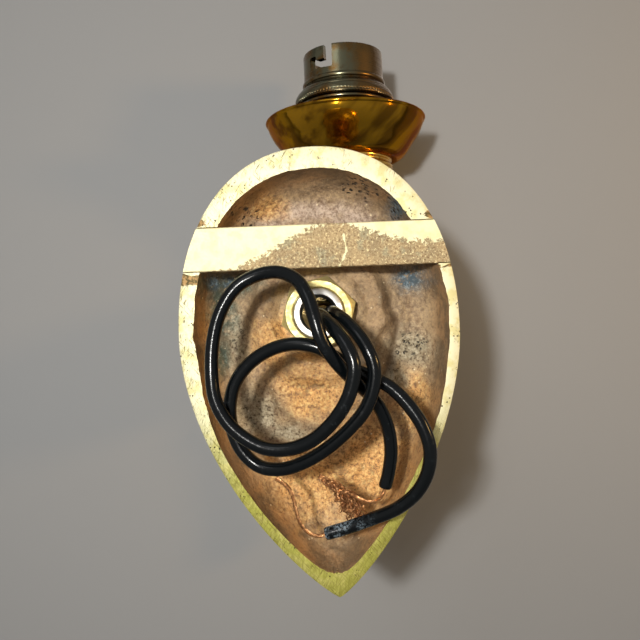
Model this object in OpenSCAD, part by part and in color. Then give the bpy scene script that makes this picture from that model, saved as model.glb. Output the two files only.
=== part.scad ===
// A wall sconce: a cast hand comes out of an egg-shaped plate and grips a torch that carries a
// drip dish and a bayonet lampholder. Millimetres. +Z is up, the wall is the plane y = 0, the
// sconce stands out towards -Y, and the origin is the middle of the hanging bar's back face.

/* [Wall plate] */
// Width of the plate at its widest line
plate_w = 69.6; // [62:0.2:78]
// Height of the round top above the widest line
plate_top = 46.6; // [42:0.2:54]
// Length of the pointed foot below the widest line
plate_foot = 65.2; // [58:0.2:76]
// Height of the widest line against the middle of the hanging bar
widest_z = -22; // [-24:0.5:-20]
// Width of the ground rim at the sides
rim_side = 3; // [2.4:0.1:4]
// Width of the ground rim at the top
rim_top = 5; // [3.6:0.1:6]
// Solid metal behind the rim at the foot's point
rim_foot = 5.5; // [4:0.1:8]
// Depth from the wall to the front of the flat seat for the arm
seat_d = 15.7; // [14.5:0.1:18]
// Thickness of the casting
cast_t = 3.2; // [2.6:0.1:3.8]
// How far the round moulding stands in front of the seat
moulding_h = 2.3; // [1.2:0.1:4]

/* [Hanging bar] */
// Height of the bar
bar_h = 10.8; // [8:0.2:12]
// Thickness of the bar
bar_t = 3; // [2:0.1:4]
// Gap between the bar and its notch, above and below
notch_gap = 0.15; // [0.05:0.05:0.4]

/* [Arm] */
// Height of the arm's axis against the hanging bar's middle
arm_z = -16.7; // [-18:0.1:-16.6]
// Outside diameter of the threaded arm tube
tube_d = 13; // [12:0.1:14]
// Bore of the arm tube
tube_bore = 9.6; // [8.4:0.1:9.8]
// How far the arm tube stands out behind its nut
tube_stand = 1.7; // [0.6:0.1:3]
// Width of the back nut across its flats
nut_af = 17.5; // [16:0.1:19]
// Thickness of the back nut
nut_t = 4.8; // [3.5:0.1:6]
// Radius of the turned collar where it seats on the plate
collar_r = 13; // [11:0.1:13.4]
// Length of the turned collar
collar_l = 4.8; // [4:0.1:7]
// Outside radius of the cuff at its open end
cuff_r = 16.4; // [16:0.1:18]
// Length of the cuff
cuff_l = 10.5; // [8:0.1:12]
// Thickness of the cuff's floor
cuff_floor = 2.5; // [2:0.1:4]
// Length of tube that screws into the wrist
tube_grip = 9; // [7:0.1:11]

/* [Hand] */
// Distance of the lamp's axis from the wall
lamp_out = 70; // [69:0.1:73]
// Sideways offset of the lamp's axis from the arm's axis
lamp_side = 11.7; // [11:0.1:12.4]
// Radius of the shaft inside the fist
grip_r = 7; // [6.4:0.1:7.6]
// Height of the fist's upper end above the arm's axis
grip_up = 23.7; // [23:0.1:26]
// Depth of the fist's lower end below the arm's axis
grip_down = 22.8; // [22:0.1:25]
// Half width of the wrist, from palm side to back
wrist_x = 8.6; // [8:0.1:9.4]
// Half height of the wrist
wrist_z = 12.4; // [11.6:0.1:12.8]

/* [Torch] */
// Outside diameter of the threaded torch rod
rod_d = 10; // [9.6:0.1:10.6]
// Bore of the torch rod
rod_bore = 7.5; // [7.1:0.1:7.8]
// Radius of the flanges at the torch shafts' ends
flange_r = 9; // [8.4:0.1:9.6]
// Length of the upper shaft
upper_l = 16.6; // [14:0.1:20]
// Length of the torch cup
cup_l = 12.2; // [10:0.1:15]
// Largest radius of the torch cup
cup_r = 15.8; // [14:0.1:17]
// Length of the turned ring under the fist
ring_l = 3; // [2.4:0.1:5]
// Length of the lower shaft
lower_l = 35; // [28:0.5:42]
// Radius of the lower shaft at its foot
lower_r = 4.4; // [3.6:0.1:5.5]
// Length of the rod inside the lower shaft
rod_tail = 18; // [12:0.5:24]
// Largest radius of the pommel
pommel_r = 6; // [4.8:0.1:8]
// Height of the pommel
pommel_h = 9.5; // [8:0.1:13]
// Radius of the pommel's screw spigot
spigot_r = 2; // [1.5:0.1:2.4]
// Length of the pommel's screw spigot
spigot_l = 7; // [4:0.1:9]

/* [Drip dish] */
// Radius of the dish at its rim
dish_r = 27.4; // [25:0.1:31]
// Height of the dish
dish_h = 14.2; // [12:0.1:17]
// Radius of the dish's foot
dish_foot = 16; // [14.5:0.1:18]
// Thickness of the dish's metal
dish_t = 1.2; // [0.8:0.1:1.8]
// Thickness of the nut that clamps the dish
dish_nut_t = 2.4; // [2:0.1:3.2]
// Width of that nut across its flats
dish_nut_af = 15; // [13.5:0.1:17]

/* [Lampholder] */
// Bore of the bayonet barrel
barrel_bore = 22.6; // [22.2:0.1:23]
// Outside diameter of the barrel's rim
barrel_d = 27.2; // [26.6:0.1:28]
// Length of the true bayonet bore below the rim
bore_l = 10.4; // [9.6:0.1:10.4]
// Length of the barrel from its rim to the insulator's flange
barrel_l = 18.3; // [17.4:0.1:20]
// Width of the bayonet slots
slot_w = 3; // [2.6:0.1:3.4]
// Depth of the bayonet slots below the rim
slot_l = 7.5; // [6.5:0.1:8.5]
// Turn of a slot's level leg
slot_turn = 26; // [20:1:30]
// Turn of the slots away from the wall side
slot_aim = 24; // [0:1:40]
// Outside radius of the knurled ring
knurl_r = 16.9; // [16.4:0.1:18]
// Height of the knurled ring
knurl_h = 3.4; // [2.6:0.1:4]
// Room between the cap's neck and the terminal blocks
terminal_room = 2.4; // [2:0.1:4]
// Length of the cap's screw neck
neck_l = 2.1; // [1.8:0.1:3]

/* [Contacts] */
// Spacing of the two contacts
contact_gap = 9; // [8.4:0.1:9.6]
// Radius of a contact plunger
plunger_r = 2.3; // [2:0.05:2.4]
// Distance of the plungers' tips below the barrel's rim
tip_drop = 11; // [10.6:0.1:12]
// Travel of a contact plunger
plunger_travel = 3; // [2:0.1:3.2]
// Running clearance round a plunger
run_gap = 0.05; // [0.02:0.01:0.1]
// Thickness of a contact spring's wire
spring_wire = 0.45; // [0.3:0.05:0.5]
// Number of turns in a contact spring
spring_turns = 7; // [5:1:8]

/* [Leads] */
// Diameter of a lead over its covering
lead_d = 3.2; // [2.6:0.1:3.3]
// Diameter of a lead's copper core
core_d = 1.05; // [0.8:0.05:1.2]

/* [Fits] */
// Clearance between a rod or tube and the hole that it passes through
pass_gap = 0.1; // [0.05:0.01:0.2]
// Clearance between a screw thread and its nut
thread_gap = 0.05; // [0.02:0.01:0.1]

/* [Hidden] */

// Fineness of true round surfaces, and of the spheres that round the hand's limbs
round_fn = 72;
limb_fn = 18;

// Outline of the plate: a full round top and a straighter pointed foot
outline_steps = 72;
top_power = 2.2;
foot_power = 1.79;
foot_taper = 1.7;
// An inset of one millimetre at the sides moves the foot's point this far
foot_share = 2.2;

// Depths of the plate's flat seats, behind and in front
floor_y = -(seat_d - cast_t);
seat_y = -seat_d;
crest_y = seat_y - moulding_h;

// Stations along the arm, from the wall outwards
nut_y = floor_y + nut_t;
tube_back_y = nut_y + tube_stand;
cuff_y = seat_y - collar_l;
wrist_y = cuff_y - cuff_floor;
tube_front_y = wrist_y - tube_grip;
cuff_bore_r = wrist_z + 0.9;
lamp_y = -lamp_out;
lamp_x = -lamp_side;

// Heights along the lamp's axis, from the fist upwards
grip_top = arm_z + grip_up;
cup_base = grip_top + upper_l;
dish_base = cup_base + cup_l;
dish_floor = dish_base + dish_t;
cap_base = dish_floor + dish_nut_t;
rod_top = cap_base + neck_l;

// The lampholder's inner stack: the ledge below the cap's rim, the insulator's flange, a pressed
// plunger's stand over the insulator, its guide, flange and play, its spring's seat and the block
ledge_drop = 3.3;
flange_t = 2;
tip_stand = 2;
guide_t = 2;
plunger_flange_t = 1.4;
plunger_rest_gap = 0.2;
press_room = 0.4;
spring_seat_t = 1.4;
block_z = 4.2;
insulator_up = flange_t + barrel_l - tip_drop - plunger_travel - tip_stand;
stack_h = guide_t + plunger_rest_gap + plunger_flange_t + plunger_travel + press_room + spring_seat_t + block_z;
cap_h = neck_l + terminal_room + stack_h - insulator_up + ledge_drop;
cap_top = cap_base + cap_h;
ledge_z = cap_top - ledge_drop;
flange_z = ledge_z + flange_t;
rim_z = flange_z + barrel_l;

// Heights downwards from the fist
grip_base = arm_z - grip_down;
ring_base = grip_base - ring_l;
lower_base = ring_base - lower_l;

// Contacts: the plunger's tip, its flange and the seat that its spring stands on
tip_z = rim_z - tip_drop;
insulator_top = tip_z - plunger_travel - tip_stand;
guide_base = insulator_top - guide_t;
plunger_flange_r = plunger_r + 0.6;
plunger_base = guide_base - plunger_rest_gap - plunger_flange_t;
spring_seat_z = plunger_base - plunger_travel - press_room;
plunger_wall = 0.5;
plunger_cap_t = 1.5;
spring_r = plunger_r - plunger_wall - 0.2 - spring_wire / 2;
spring_top_z = tip_z - plunger_cap_t - 0.02;
insulator_base = spring_seat_z - spring_seat_t;
well_r = plunger_flange_r + 0.2;
insulator_r = barrel_bore / 2 - 0.4;

// Terminal blocks under the insulator
block_x = 6.4;
block_y = 5.6;
block_in = 3.4;
screw_r = 1.2;
screw_head_r = 1.9;
screw_head_t = 1.5;
screw_z = insulator_base - block_z / 2;

// Centres of the two leads in the arm tube's mouth, as x and z
mouth_a = [0.5, -16.9];
mouth_b = [-3, -16.4];
// Half the spacing of the leads inside the torch rod, and their bend from the arm into it
rod_pair = 1.75;
lead_bend = 8;
// Where the leads' covering ends under the terminals
strip_z = rod_top - 0.8;

// Lead a: out of the tube, once round the big loop, under itself and down to its cut end
lead_a_route = [
    [0.5, tube_back_y, -16.9], [0.5, -3, -16.9], [0.3, 2, -16.9], [-0.1, 7, -17],
    [-1.2, 12, -18], [-3.2, 16, -20.4], [-5.7, 18.8, -24], [-7.3, 20, -28.4],
    [-6.7, 20, -33], [-4.8, 19.6, -37.4], [-1.6, 18.6, -41.6], [2.6, 17.3, -45.1],
    [7.6, 16, -47], [13, 14.8, -46.9], [18, 13.6, -44.5], [22, 12.4, -40.8],
    [24.7, 11, -35.6], [25.4, 9.8, -29.2], [24.9, 9.2, -22.4], [23, 9, -15.8],
    [19.2, 9, -10.2], [14, 9.4, -7.4], [8.8, 11, -7], [4.6, 13.6, -9.2],
    [2.2, 16.2, -13.4], [0.8, 17.7, -18.4], [-0.6, 18, -23.2], [-2.9, 17.4, -27],
    [-5.6, 15.7, -30.4], [-8.7, 13, -33.6], [-11.5, 10.6, -36.6], [-13.8, 9.2, -40.2],
    [-15.4, 8, -44.8], [-15.9, 7, -50], [-15.3, 6, -55], [-14.2, 5.5, -59]
];
// Lead b: behind lead a round the small loop, under the pair and out in a wide bow
lead_b_route = [
    [-3, tube_back_y, -16.4], [-3, -3, -16.4], [-3.2, 1.5, -16.5], [-4, 6, -17],
    [-5.8, 10.4, -18.6], [-8.4, 13.6, -21.6], [-10.7, 15.4, -25.4], [-12, 16, -29.6],
    [-11.6, 16, -34], [-9.8, 15.6, -38.6], [-6.2, 14.8, -43], [-1.4, 13.6, -47.2],
    [4, 12.2, -50.6], [9.6, 10.4, -52.6], [15, 8.8, -52.2], [19, 8, -48.8],
    [21.2, 7.6, -44], [21.8, 7.6, -38.6], [20.4, 7.8, -32.8], [16.9, 8.4, -28.2],
    [11.8, 9.6, -25], [6.2, 11.2, -23.7], [0.8, 12.4, -24.6], [-3.6, 12.6, -27.2],
    [-7.6, 11.6, -30], [-12, 11.4, -32.2], [-16, 12, -34.6], [-19.7, 13, -38.6],
    [-22.6, 14, -43.4], [-24, 14.4, -48.6], [-23.4, 13.6, -54], [-20.9, 11.8, -59],
    [-16.6, 9.4, -63], [-11, 7.2, -65.8], [-5.4, 5.8, -68], [0.3, 5, -69.7]
];
// Lead a's bared core runs into the twisted and frayed bundle
conductor_a_route = [
    [-14.2, 5.5, -59], [-13.9, 5.4, -60.1], [-12.8, 5.4, -61.7], [-11, 5.5, -62.3],
    [-8.9, 5.5, -61.9], [-6.6, 5.3, -60.6], [-4.6, 5.1, -59.9]
];
// Lead b's bared core turns back up in a long hook
conductor_b_route = [
    [0.3, 5, -69.7], [2.2, 4.8, -70.2], [4.6, 4.8, -69.2], [6.5, 5, -66.6], [7.3, 5, -63.4],
    [8, 5, -60.2], [9.4, 5, -57.7], [11.8, 5, -55.8]
];
// The frayed bundle, from its twisted tip downwards, with its radius at each point
fray_route = [
    [1.2, 5, -55.8], [-0.4, 4.9, -57.2], [-2.4, 4.7, -58.8], [-4.4, 4.3, -60.8],
    [-5.8, 3.9, -62.8], [-7, 3.4, -64.8], [-8, 3, -66.6]
];
fray_radius = [0.6, 0.7, 1.1, 1.7, 1.9, 1.7, 1.1];

// One point of the plate's outline at angle a, with the sides, top and foot drawn in
function outline_point(a, side, top, foot) =
    let (c = cos(a), s = sin(a), w = plate_w / 2 - side)
    s >= 0
        ? [sign(c) * w * pow(abs(c), 2 / top_power), widest_z + (plate_top - top) * pow(s, 2 / top_power)]
        : [sign(c) * w * pow(abs(c), foot_taper), widest_z - (plate_foot - foot) * pow(-s, 2 / foot_power)];

// The outline at depth y; ring is [side, top, foot, y], the first three as insets
function outline_ring(ring) = [
    for (i = [0:outline_steps - 1])
        let (p = outline_point((i + 0.5) * 360 / outline_steps, ring[0], ring[1], ring[2]))
        [p[0], ring[3], p[1]]
];

// Rings of the hollow behind, from the floor round the nut to the rim: [inset past the rim, y]
hollow_rings = [
    [18, floor_y], [16, floor_y + 0.3], [13, floor_y - 0.3], [10.2, crest_y + cast_t + 0.5],
    [7, crest_y + cast_t], [3.6, crest_y + cast_t + 2.4], [1.4, floor_y + 4], [0.4, -4], [0, 0]
];
// Rings of the plate's front, from the wall in to the seat: [inset, y]
front_rings = [
    [0, 0], [0, -bar_t - 2], [1.2, crest_y + 9], [3.4, crest_y + 4.6], [6.5, crest_y + 1.3],
    [10, crest_y], [13.5, crest_y + 0.5], [16.5, seat_y - moulding_h * 0.1],
    [19, seat_y + 0.4], [21, seat_y]
];
plate_rings = concat(
    [for (r = hollow_rings)
        outline_ring([rim_side + r[0], rim_top + r[0], rim_foot + r[0] * foot_share, r[1]])],
    [for (r = front_rings) outline_ring([r[0], r[0], r[0] * foot_share, r[1]])]
);

// Triangles of a skin over equal rings, closed by a flat face at each end
function skin_faces(rings, sides) = concat(
    [[for (i = [0:sides - 1]) i]],
    [for (k = [0:rings - 2], i = [0:sides - 1])
        let (j = (i + 1) % sides, a = k * sides, b = a + sides)
        each [[a + i, b + i, a + j], [a + j, b + i, b + j]]],
    [[for (i = [sides - 1:-1:0]) (rings - 1) * sides + i]]
);

// Sweeping: unit directions along a route, and side vectors that turn with it
function unit(v) = v / norm(v);
function along(p, i) = unit(p[min(i + 1, len(p) - 1)] - p[max(i - 1, 0)]);
function level(v, t) = unit(v - (v * t) * t);
function sideways(p, i, v) =
    i >= len(p) ? [] : let (n = level(v, along(p, i))) concat([n], sideways(p, i + 1, n));
function first_side(p) =
    let (t = along(p, 0)) level(abs(t[2]) < 0.8 ? [0, 0, 1] : [1, 0, 0], t);

// A tube along a route, with one radius for each point
module sweep(route, radii, sides) {
    normals = sideways(route, 0, first_side(route));
    points = [
        for (i = [0:len(route) - 1], k = [0:sides - 1])
            let (n = normals[i], m = cross(along(route, i), n), a = 360 * k / sides)
            route[i] + radii[i] * (cos(a) * n + sin(a) * m)
    ];
    polyhedron(points, skin_faces(len(route), sides), convexity = 8);
}
module cord(route, d, sides = 8) sweep(route, [for (p = route) d / 2], sides);

// Placing along the arm: local +Z runs from y towards the room
module on_arm(y) translate([0, y, arm_z]) rotate([90, 0, 0]) children();
module on_lamp(z) translate([lamp_x, lamp_y, z]) children();
// A round hole, from z0 to z1 on the local axis
module hole(r, z0, z1) translate([0, 0, z0]) cylinder(r = r, h = z1 - z0, $fn = round_fn);
// A turned piece: [radius, height] points outside, round the axis
module turned(profile) rotate_extrude($fn = round_fn) polygon(profile);
module hexagon(af, h) cylinder(r = af / sqrt(3), h = h, $fn = 6);

module wall_plate() color("darkkhaki") difference() {
    polyhedron(
        [for (r = plate_rings) each r],
        skin_faces(len(plate_rings), outline_steps),
        convexity = 6
    );
    on_arm(floor_y + 2) hole(tube_d / 2 + pass_gap, -1, cast_t + 4);
    translate([-plate_w, -bar_t, -bar_h / 2 - notch_gap])
        cube([2 * plate_w, bar_t + 1, bar_h + 2 * notch_gap]);
}

module hanging_bar() color("khaki") intersection() {
    translate([-plate_w, -bar_t, -bar_h / 2]) cube([2 * plate_w, bar_t, bar_h]);
    rotate([90, 0, 0]) linear_extrude(bar_t)
        polygon([for (p = outline_ring([0, 0, 0, 0])) [p[0], p[2]]]);
}

module arm_tube() color("silver") on_arm(tube_back_y) difference() {
    cylinder(d = tube_d, h = tube_back_y - tube_front_y, $fn = round_fn);
    hole(tube_bore / 2, -1, tube_back_y - tube_front_y + 1);
}

module back_nut() color("gold") on_arm(nut_y) difference() {
    intersection() {
        hexagon(nut_af, nut_t);
        turned([[0, 0], [nut_af / 2 - 0.4, 0], [nut_af / sqrt(3), 1.1], [nut_af / sqrt(3), nut_t], [0, nut_t]]);
    }
    hole(tube_d / 2 + thread_gap, -1, nut_t + 1);
}

module arm_collar() color("gold") on_arm(seat_y) difference() {
    turned([
        [0, 0], [collar_r, 0], [collar_r, 0.9], [collar_r - 1.4, 1.7], [collar_r - 2, 2.4],
        [collar_r - 1.2, 3.1], [collar_r + 0.6, 3.7], [collar_r + 1, collar_l], [0, collar_l]
    ]);
    hole(tube_d / 2 + pass_gap, -1, collar_l + 1);
}

module cuff() color("goldenrod") on_arm(cuff_y) difference() {
    turned([
        [0, 0], [collar_r + 1, 0], [collar_r + 1.6, 1], [collar_r + 1.3, 2.2], [cuff_r - 1.4, cuff_l * 0.45],
        [cuff_r - 0.8, cuff_l - 2.4], [cuff_r, cuff_l - 1.6], [cuff_r, cuff_l - 0.6],
        [cuff_r - 0.5, cuff_l], [0, cuff_l]
    ]);
    hole(tube_d / 2 + pass_gap, -1, cuff_l);
    hole(cuff_bore_r, cuff_floor, cuff_l + 1);
}

// Knuckle heights against the arm's axis and finger radii, from the first finger down
finger_z = [10.2, 0.9, -8.2, -16.5];
finger_r = [4.8, 5, 4.8, 4.1];
// One finger's joints round the shaft, as offsets from the lamp's axis
finger_path = [[12.6, -7], [6.5, -14.6], [-4, -13.2], [-12.6, -5], [-10.4, 5.6]];
// The thumb's joints, as offsets from the lamp's axis and the arm's height, and their radii
thumb_path = [[9.5, 23, 8], [2, 16.5, 15.6], [-10.4, 10, 18], [-14.2, -1.6, 15.8]];
thumb_r = [6.6, 5.4, 4.6, 4];

// The palm: its lower and upper edge against the arm's axis, its sideways place, its distance
// behind the lamp's axis, its rounding, and the wrist's length past the tube's end
palm_z = [-11.6, 9.6];
palm_x = -0.6;
palm_in = 23;
palm_r = 7;
wrist_past = 3;
// The heel of the palm, which fills the space from the palm to the shaft
heel_x = -1.6;
heel_in = 24;
heel_r = 6.6;
heel_drop = 17;
heel_h = 29;
skin_over = 0.6;

module limb(route, radii) for (i = [0:len(route) - 2]) hull() {
    translate(route[i]) sphere(r = radii[i], $fn = limb_fn);
    translate(route[i + 1]) sphere(r = radii[i + 1], $fn = limb_fn);
}
module oval(y, rx, rz) translate([0, y, arm_z]) rotate([90, 0, 0]) scale([rx, rz, 1])
    cylinder(r = 1, h = 0.4, $fn = 32);

module hand() color("goldenrod") difference() {
    union() {
        hull() {
            oval(wrist_y, wrist_x, wrist_z);
            oval(wrist_y - tube_grip - wrist_past, wrist_x - 0.4, wrist_z - 0.6);
        }
        hull() {
            oval(wrist_y - tube_grip - wrist_past, wrist_x - 0.4, wrist_z - 0.6);
            for (z = palm_z) translate([palm_x, lamp_y + palm_in, arm_z + z]) sphere(r = palm_r, $fn = limb_fn);
        }
        hull() {
            for (z = palm_z) translate([palm_x, lamp_y + palm_in, arm_z + z]) sphere(r = palm_r, $fn = limb_fn);
            for (i = [0, 3]) translate([lamp_x + finger_path[0][0], lamp_y + finger_path[0][1], arm_z + finger_z[i]])
                sphere(r = finger_r[i] + skin_over, $fn = limb_fn);
        }
        for (i = [0:3]) limb(
            [for (p = finger_path) [lamp_x + p[0], lamp_y + p[1], arm_z + finger_z[i]]],
            [for (k = [0:4]) finger_r[i] - 0.12 * k]
        );
        limb([for (p = thumb_path) [lamp_x + p[0], lamp_y + p[1], arm_z + p[2]]], thumb_r);
        hull() {
            for (z = palm_z) translate([heel_x, lamp_y + heel_in, arm_z + z]) sphere(r = heel_r, $fn = limb_fn);
            on_lamp(arm_z - heel_drop) cylinder(r = grip_r + skin_over, h = heel_h, $fn = 32);
        }
        on_lamp(grip_base) cylinder(r = grip_r, h = grip_top - grip_base, $fn = round_fn);
    }
    on_lamp(0) hole(rod_d / 2 + pass_gap, grip_base - 1, grip_top + 1);
    on_arm(wrist_y) hole(tube_d / 2 + thread_gap, -1, tube_grip + 0.5);
    on_arm(wrist_y) hole(wrist_z + 8, -20, 0);
    lead_way(4.5);
}

// The drilled way for both leads, from the arm tube's front end into the torch rod
way_start = [(mouth_a[0] + mouth_b[0]) / 2, tube_front_y + 1, arm_z];
way_end = [lamp_x, lamp_y + 3, arm_z];
module lead_way(r) {
    run = way_end - way_start;
    translate(way_start) rotate([90, 0, -atan2(-run[0], -run[1])])
        cylinder(r = r, h = norm(run), $fn = round_fn);
}

module torch_rod() color("silver") difference() {
    on_lamp(ring_base - rod_tail)
        cylinder(d = rod_d, h = rod_top - ring_base + rod_tail, $fn = round_fn);
    on_lamp(0) hole(rod_bore / 2, ring_base - rod_tail - 1, rod_top + 1);
    translate([lamp_x - 2 * rod_pair, lamp_y, arm_z - 4]) cube([4 * rod_pair, rod_d, lead_bend + 4.6]);
}

module upper_stem() color("gold") on_lamp(grip_top) difference() {
    turned([
        [0, 0], [flange_r, 0], [flange_r, 1.2], [flange_r - 1.2, 2], [flange_r - 1.8, 3],
        [flange_r - 1.4, upper_l * 0.5], [flange_r - 0.4, upper_l - 4.4], [flange_r + 0.8, upper_l - 3.6],
        [flange_r + 0.8, upper_l - 2.4], [flange_r - 0.6, upper_l - 1.6], [flange_r - 0.6, upper_l], [0, upper_l]
    ]);
    hole(rod_d / 2 + pass_gap, -1, upper_l + 1);
}

module torch_cup() color("gold") on_lamp(cup_base) difference() {
    turned([
        [0, 0], [flange_r - 0.6, 0], [flange_r + 1, 0.8], [cup_r - 3.4, 2.4], [cup_r - 1.2, 4.6],
        [cup_r - 0.2, 7.2], [cup_r, cup_l - 2.8], [cup_r - 0.2, cup_l], [0, cup_l]
    ]);
    hole(rod_d / 2 + pass_gap, -1, cup_l + 1);
}

module fist_collar() color("gold") on_lamp(ring_base) difference() {
    turned([
        [0, 0], [flange_r - 1, 0], [flange_r, 0.7], [flange_r, ring_l - 0.7], [flange_r - 1, ring_l], [0, ring_l]
    ]);
    hole(rod_d / 2 + pass_gap, -1, ring_l + 1);
}

module lower_stem() color("gold") on_lamp(lower_base) difference() {
    turned([
        [0, 0], [lower_r + 1, 0], [lower_r + 1.4, 0.8], [lower_r + 1, 1.6], [lower_r, 2.2],
        [flange_r - 2, lower_l - 3.6], [flange_r - 0.8, lower_l - 2.8], [flange_r - 0.4, lower_l - 1.8],
        [flange_r - 0.8, lower_l], [0, lower_l]
    ]);
    hole(rod_d / 2 + thread_gap, lower_l - rod_tail - 0.5, lower_l + 1);
    hole(spigot_r + thread_gap, -1, spigot_l + 0.5);
}

module pommel() color("gold") on_lamp(lower_base - pommel_h) turned([
    [0, 0], [1.4, 0.2], [1.8, 0.8], [1.6, 1.5], [pommel_r * 0.62, 2.4], [pommel_r * 0.9, 3.8],
    [pommel_r, 5.3], [pommel_r * 0.92, pommel_h - 2.8], [pommel_r * 0.72, pommel_h - 1.4],
    [pommel_r * 0.72, pommel_h], [spigot_r, pommel_h], [spigot_r, pommel_h + spigot_l],
    [0, pommel_h + spigot_l]
]);

// The dish's outer curve, from its foot to its rim, and the same curve one thickness inside
dish_curve = [[0, 0], [0.34, 0.1], [0.56, 0.32], [0.79, 0.58], [1, 1]];
function dish_profile(t) = [
    for (p = dish_curve) [dish_foot + (dish_r - dish_foot) * p[0] - t, p[1] * (dish_h - t * 0.2) + t * (1 - p[1])]
];
module drip_dish() color("orange") on_lamp(dish_base) difference() {
    turned(concat(
        [[0, 0]], dish_profile(0), [for (i = [len(dish_curve) - 1:-1:0]) dish_profile(dish_t)[i]], [[0, dish_t]]
    ));
    hole(rod_d / 2 + pass_gap, -1, dish_t + 1);
}

module dish_nut() color("gold") on_lamp(dish_floor) difference() {
    hexagon(dish_nut_af, dish_nut_t);
    hole(rod_d / 2 + thread_gap, -1, dish_nut_t + 1);
}

// Radii inside the cap: its seat for the barrel, its ledge for the insulator and its hollow
cap_seat_r = barrel_d / 2 + 0.5;
cap_hollow_r = insulator_r + 0.9;
cap_wall_r = cap_seat_r + 0.7;
module lampholder_cap() color("darkolivegreen") on_lamp(cap_base) difference() {
    turned([
        [0, 0], [7.4, 0], [7.4, 1.4], [cap_wall_r - 3.6, 3.2], [cap_wall_r - 0.6, 7], [cap_wall_r, cap_h - 5],
        [cap_wall_r + 0.2, cap_h - 1.9], [knurl_r - 0.8, cap_h - 1], [knurl_r - 0.8, cap_h], [0, cap_h]
    ]);
    hole(rod_d / 2 + thread_gap, -1, neck_l + 1);
    translate([0, 0, neck_l + 0.2]) turned([
        [0, 0], [cap_hollow_r - 2.8, 1.4], [cap_hollow_r, 4.2], [cap_hollow_r, cap_h], [0, cap_h]
    ]);
    hole(cap_seat_r + thread_gap, ledge_z - cap_base, cap_h + 1);
}

shoulder_r = knurl_r - 1.4;
module knurled_ring() color("olive") on_lamp(cap_top) difference() {
    union() {
        hole(knurl_r, 1.8, knurl_h);
        for (i = [0:35]) rotate(i * 10) translate([knurl_r - 0.9, -0.7, 0]) cube([0.8, 1.4, 1.8]);
        hole(knurl_r - 0.5, 0, knurl_h - 0.5);
    }
    hole(shoulder_r + thread_gap, -1, knurl_h + 1);
}

module lampholder_barrel() color("darkkhaki") on_lamp(0) difference() {
    turned([
        [0, ledge_z + 0.3], [cap_seat_r, ledge_z + 0.3], [cap_seat_r, cap_top + 0.1], [shoulder_r, cap_top + 0.1],
        [shoulder_r, cap_top + knurl_h], [shoulder_r - 0.5, cap_top + knurl_h + 0.8],
        [barrel_d / 2 + 0.1, cap_top + knurl_h + 1.6], [barrel_d / 2, cap_top + knurl_h + 2.2],
        [barrel_d / 2 + 0.6, cap_top + knurl_h + 2.9], [barrel_d / 2 + 0.6, cap_top + knurl_h + 3.7],
        [barrel_d / 2, cap_top + knurl_h + 4.4], [barrel_d / 2, rim_z - 0.4], [barrel_d / 2 - 0.4, rim_z], [0, rim_z]
    ]);
    hole(barrel_bore / 2, rim_z - bore_l, rim_z + 1);
    hole(barrel_bore / 2 + 0.3, ledge_z, rim_z - bore_l);
    hole(barrel_d / 2 - 0.5, ledge_z, flange_z);
    for (turn = [0, 180]) rotate(90 - slot_aim + turn) bayonet_slot();
}

// One J slot on local +X: straight down from the rim, then level and up into its seat. The level
// leg starts and ends inside the two upright ones and has its floor a little above theirs
module bayonet_slot() {
    inside = barrel_bore / 2 - 2;
    outside = barrel_d / 2 + 2;
    foot_z = rim_z - slot_l;
    leg_rise = 0.1;
    translate([inside, -slot_w / 2, foot_z]) cube([outside - inside, slot_w, slot_l + 1]);
    translate([0, 0, foot_z + leg_rise]) linear_extrude(slot_w - leg_rise) polygon([
        [inside, 0], [outside, 0],
        [outside * cos(slot_turn), -outside * sin(slot_turn)], [inside * cos(slot_turn), -inside * sin(slot_turn)]
    ]);
    rotate(-slot_turn) translate([inside, -slot_w / 2, foot_z]) cube([outside - inside, slot_w, slot_w + 1.4]);
}

module on_contact(side) on_lamp(0) rotate(-slot_aim) translate([side * contact_gap / 2, 0, 0]) children();

module insulator() color("saddlebrown") difference() {
    on_lamp(0) union() {
        hole(insulator_r, insulator_base, insulator_top);
        hole(barrel_d / 2 - 0.6, ledge_z, flange_z);
    }
    for (side = [-1, 1]) on_contact(side) {
        hole(plunger_r + run_gap, guide_base - 1, insulator_top + 1);
        hole(well_r, insulator_base - 1, guide_base);
    }
}

module plunger(side) color("gold") on_contact(side) difference() {
    turned([
        [0, plunger_base], [plunger_flange_r, plunger_base], [plunger_flange_r, plunger_base + plunger_flange_t],
        [plunger_r, plunger_base + plunger_flange_t], [plunger_r, tip_z - 0.8], [plunger_r - 0.8, tip_z - 0.1],
        [plunger_r - 1.4, tip_z], [0, tip_z]
    ]);
    hole(plunger_r - plunger_wall, plunger_base - 1, tip_z - plunger_cap_t);
}
module contact_plunger_left() plunger(-1);
module contact_plunger_right() plunger(1);

// A helical spring: 8 rings of 6 sides a turn, with its ends laid nearly level
spring_bottom = spring_seat_z + spring_wire / 2 + 0.02;
spring_rise = spring_top_z - spring_wire / 2 - spring_bottom;
spring_route = [
    for (i = [0:8 * spring_turns])
        let (s = i / (8 * spring_turns), a = 45 * i, f = s - 0.5)
        [spring_r * cos(a), spring_r * sin(a), spring_bottom + spring_rise * (0.5 + f * (1.12 - 0.48 * f * f))]
];
echo(least_gap_between_spring_turns = min([
    for (i = [0:8 * spring_turns - 8]) norm(spring_route[i + 8] - spring_route[i]) - spring_wire
]));
module spring(side) color("lightsteelblue") on_contact(side)
    sweep(spring_route, [for (p = spring_route) spring_wire / 2], 6);
module contact_spring_left() spring(-1);
module contact_spring_right() spring(1);

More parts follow.
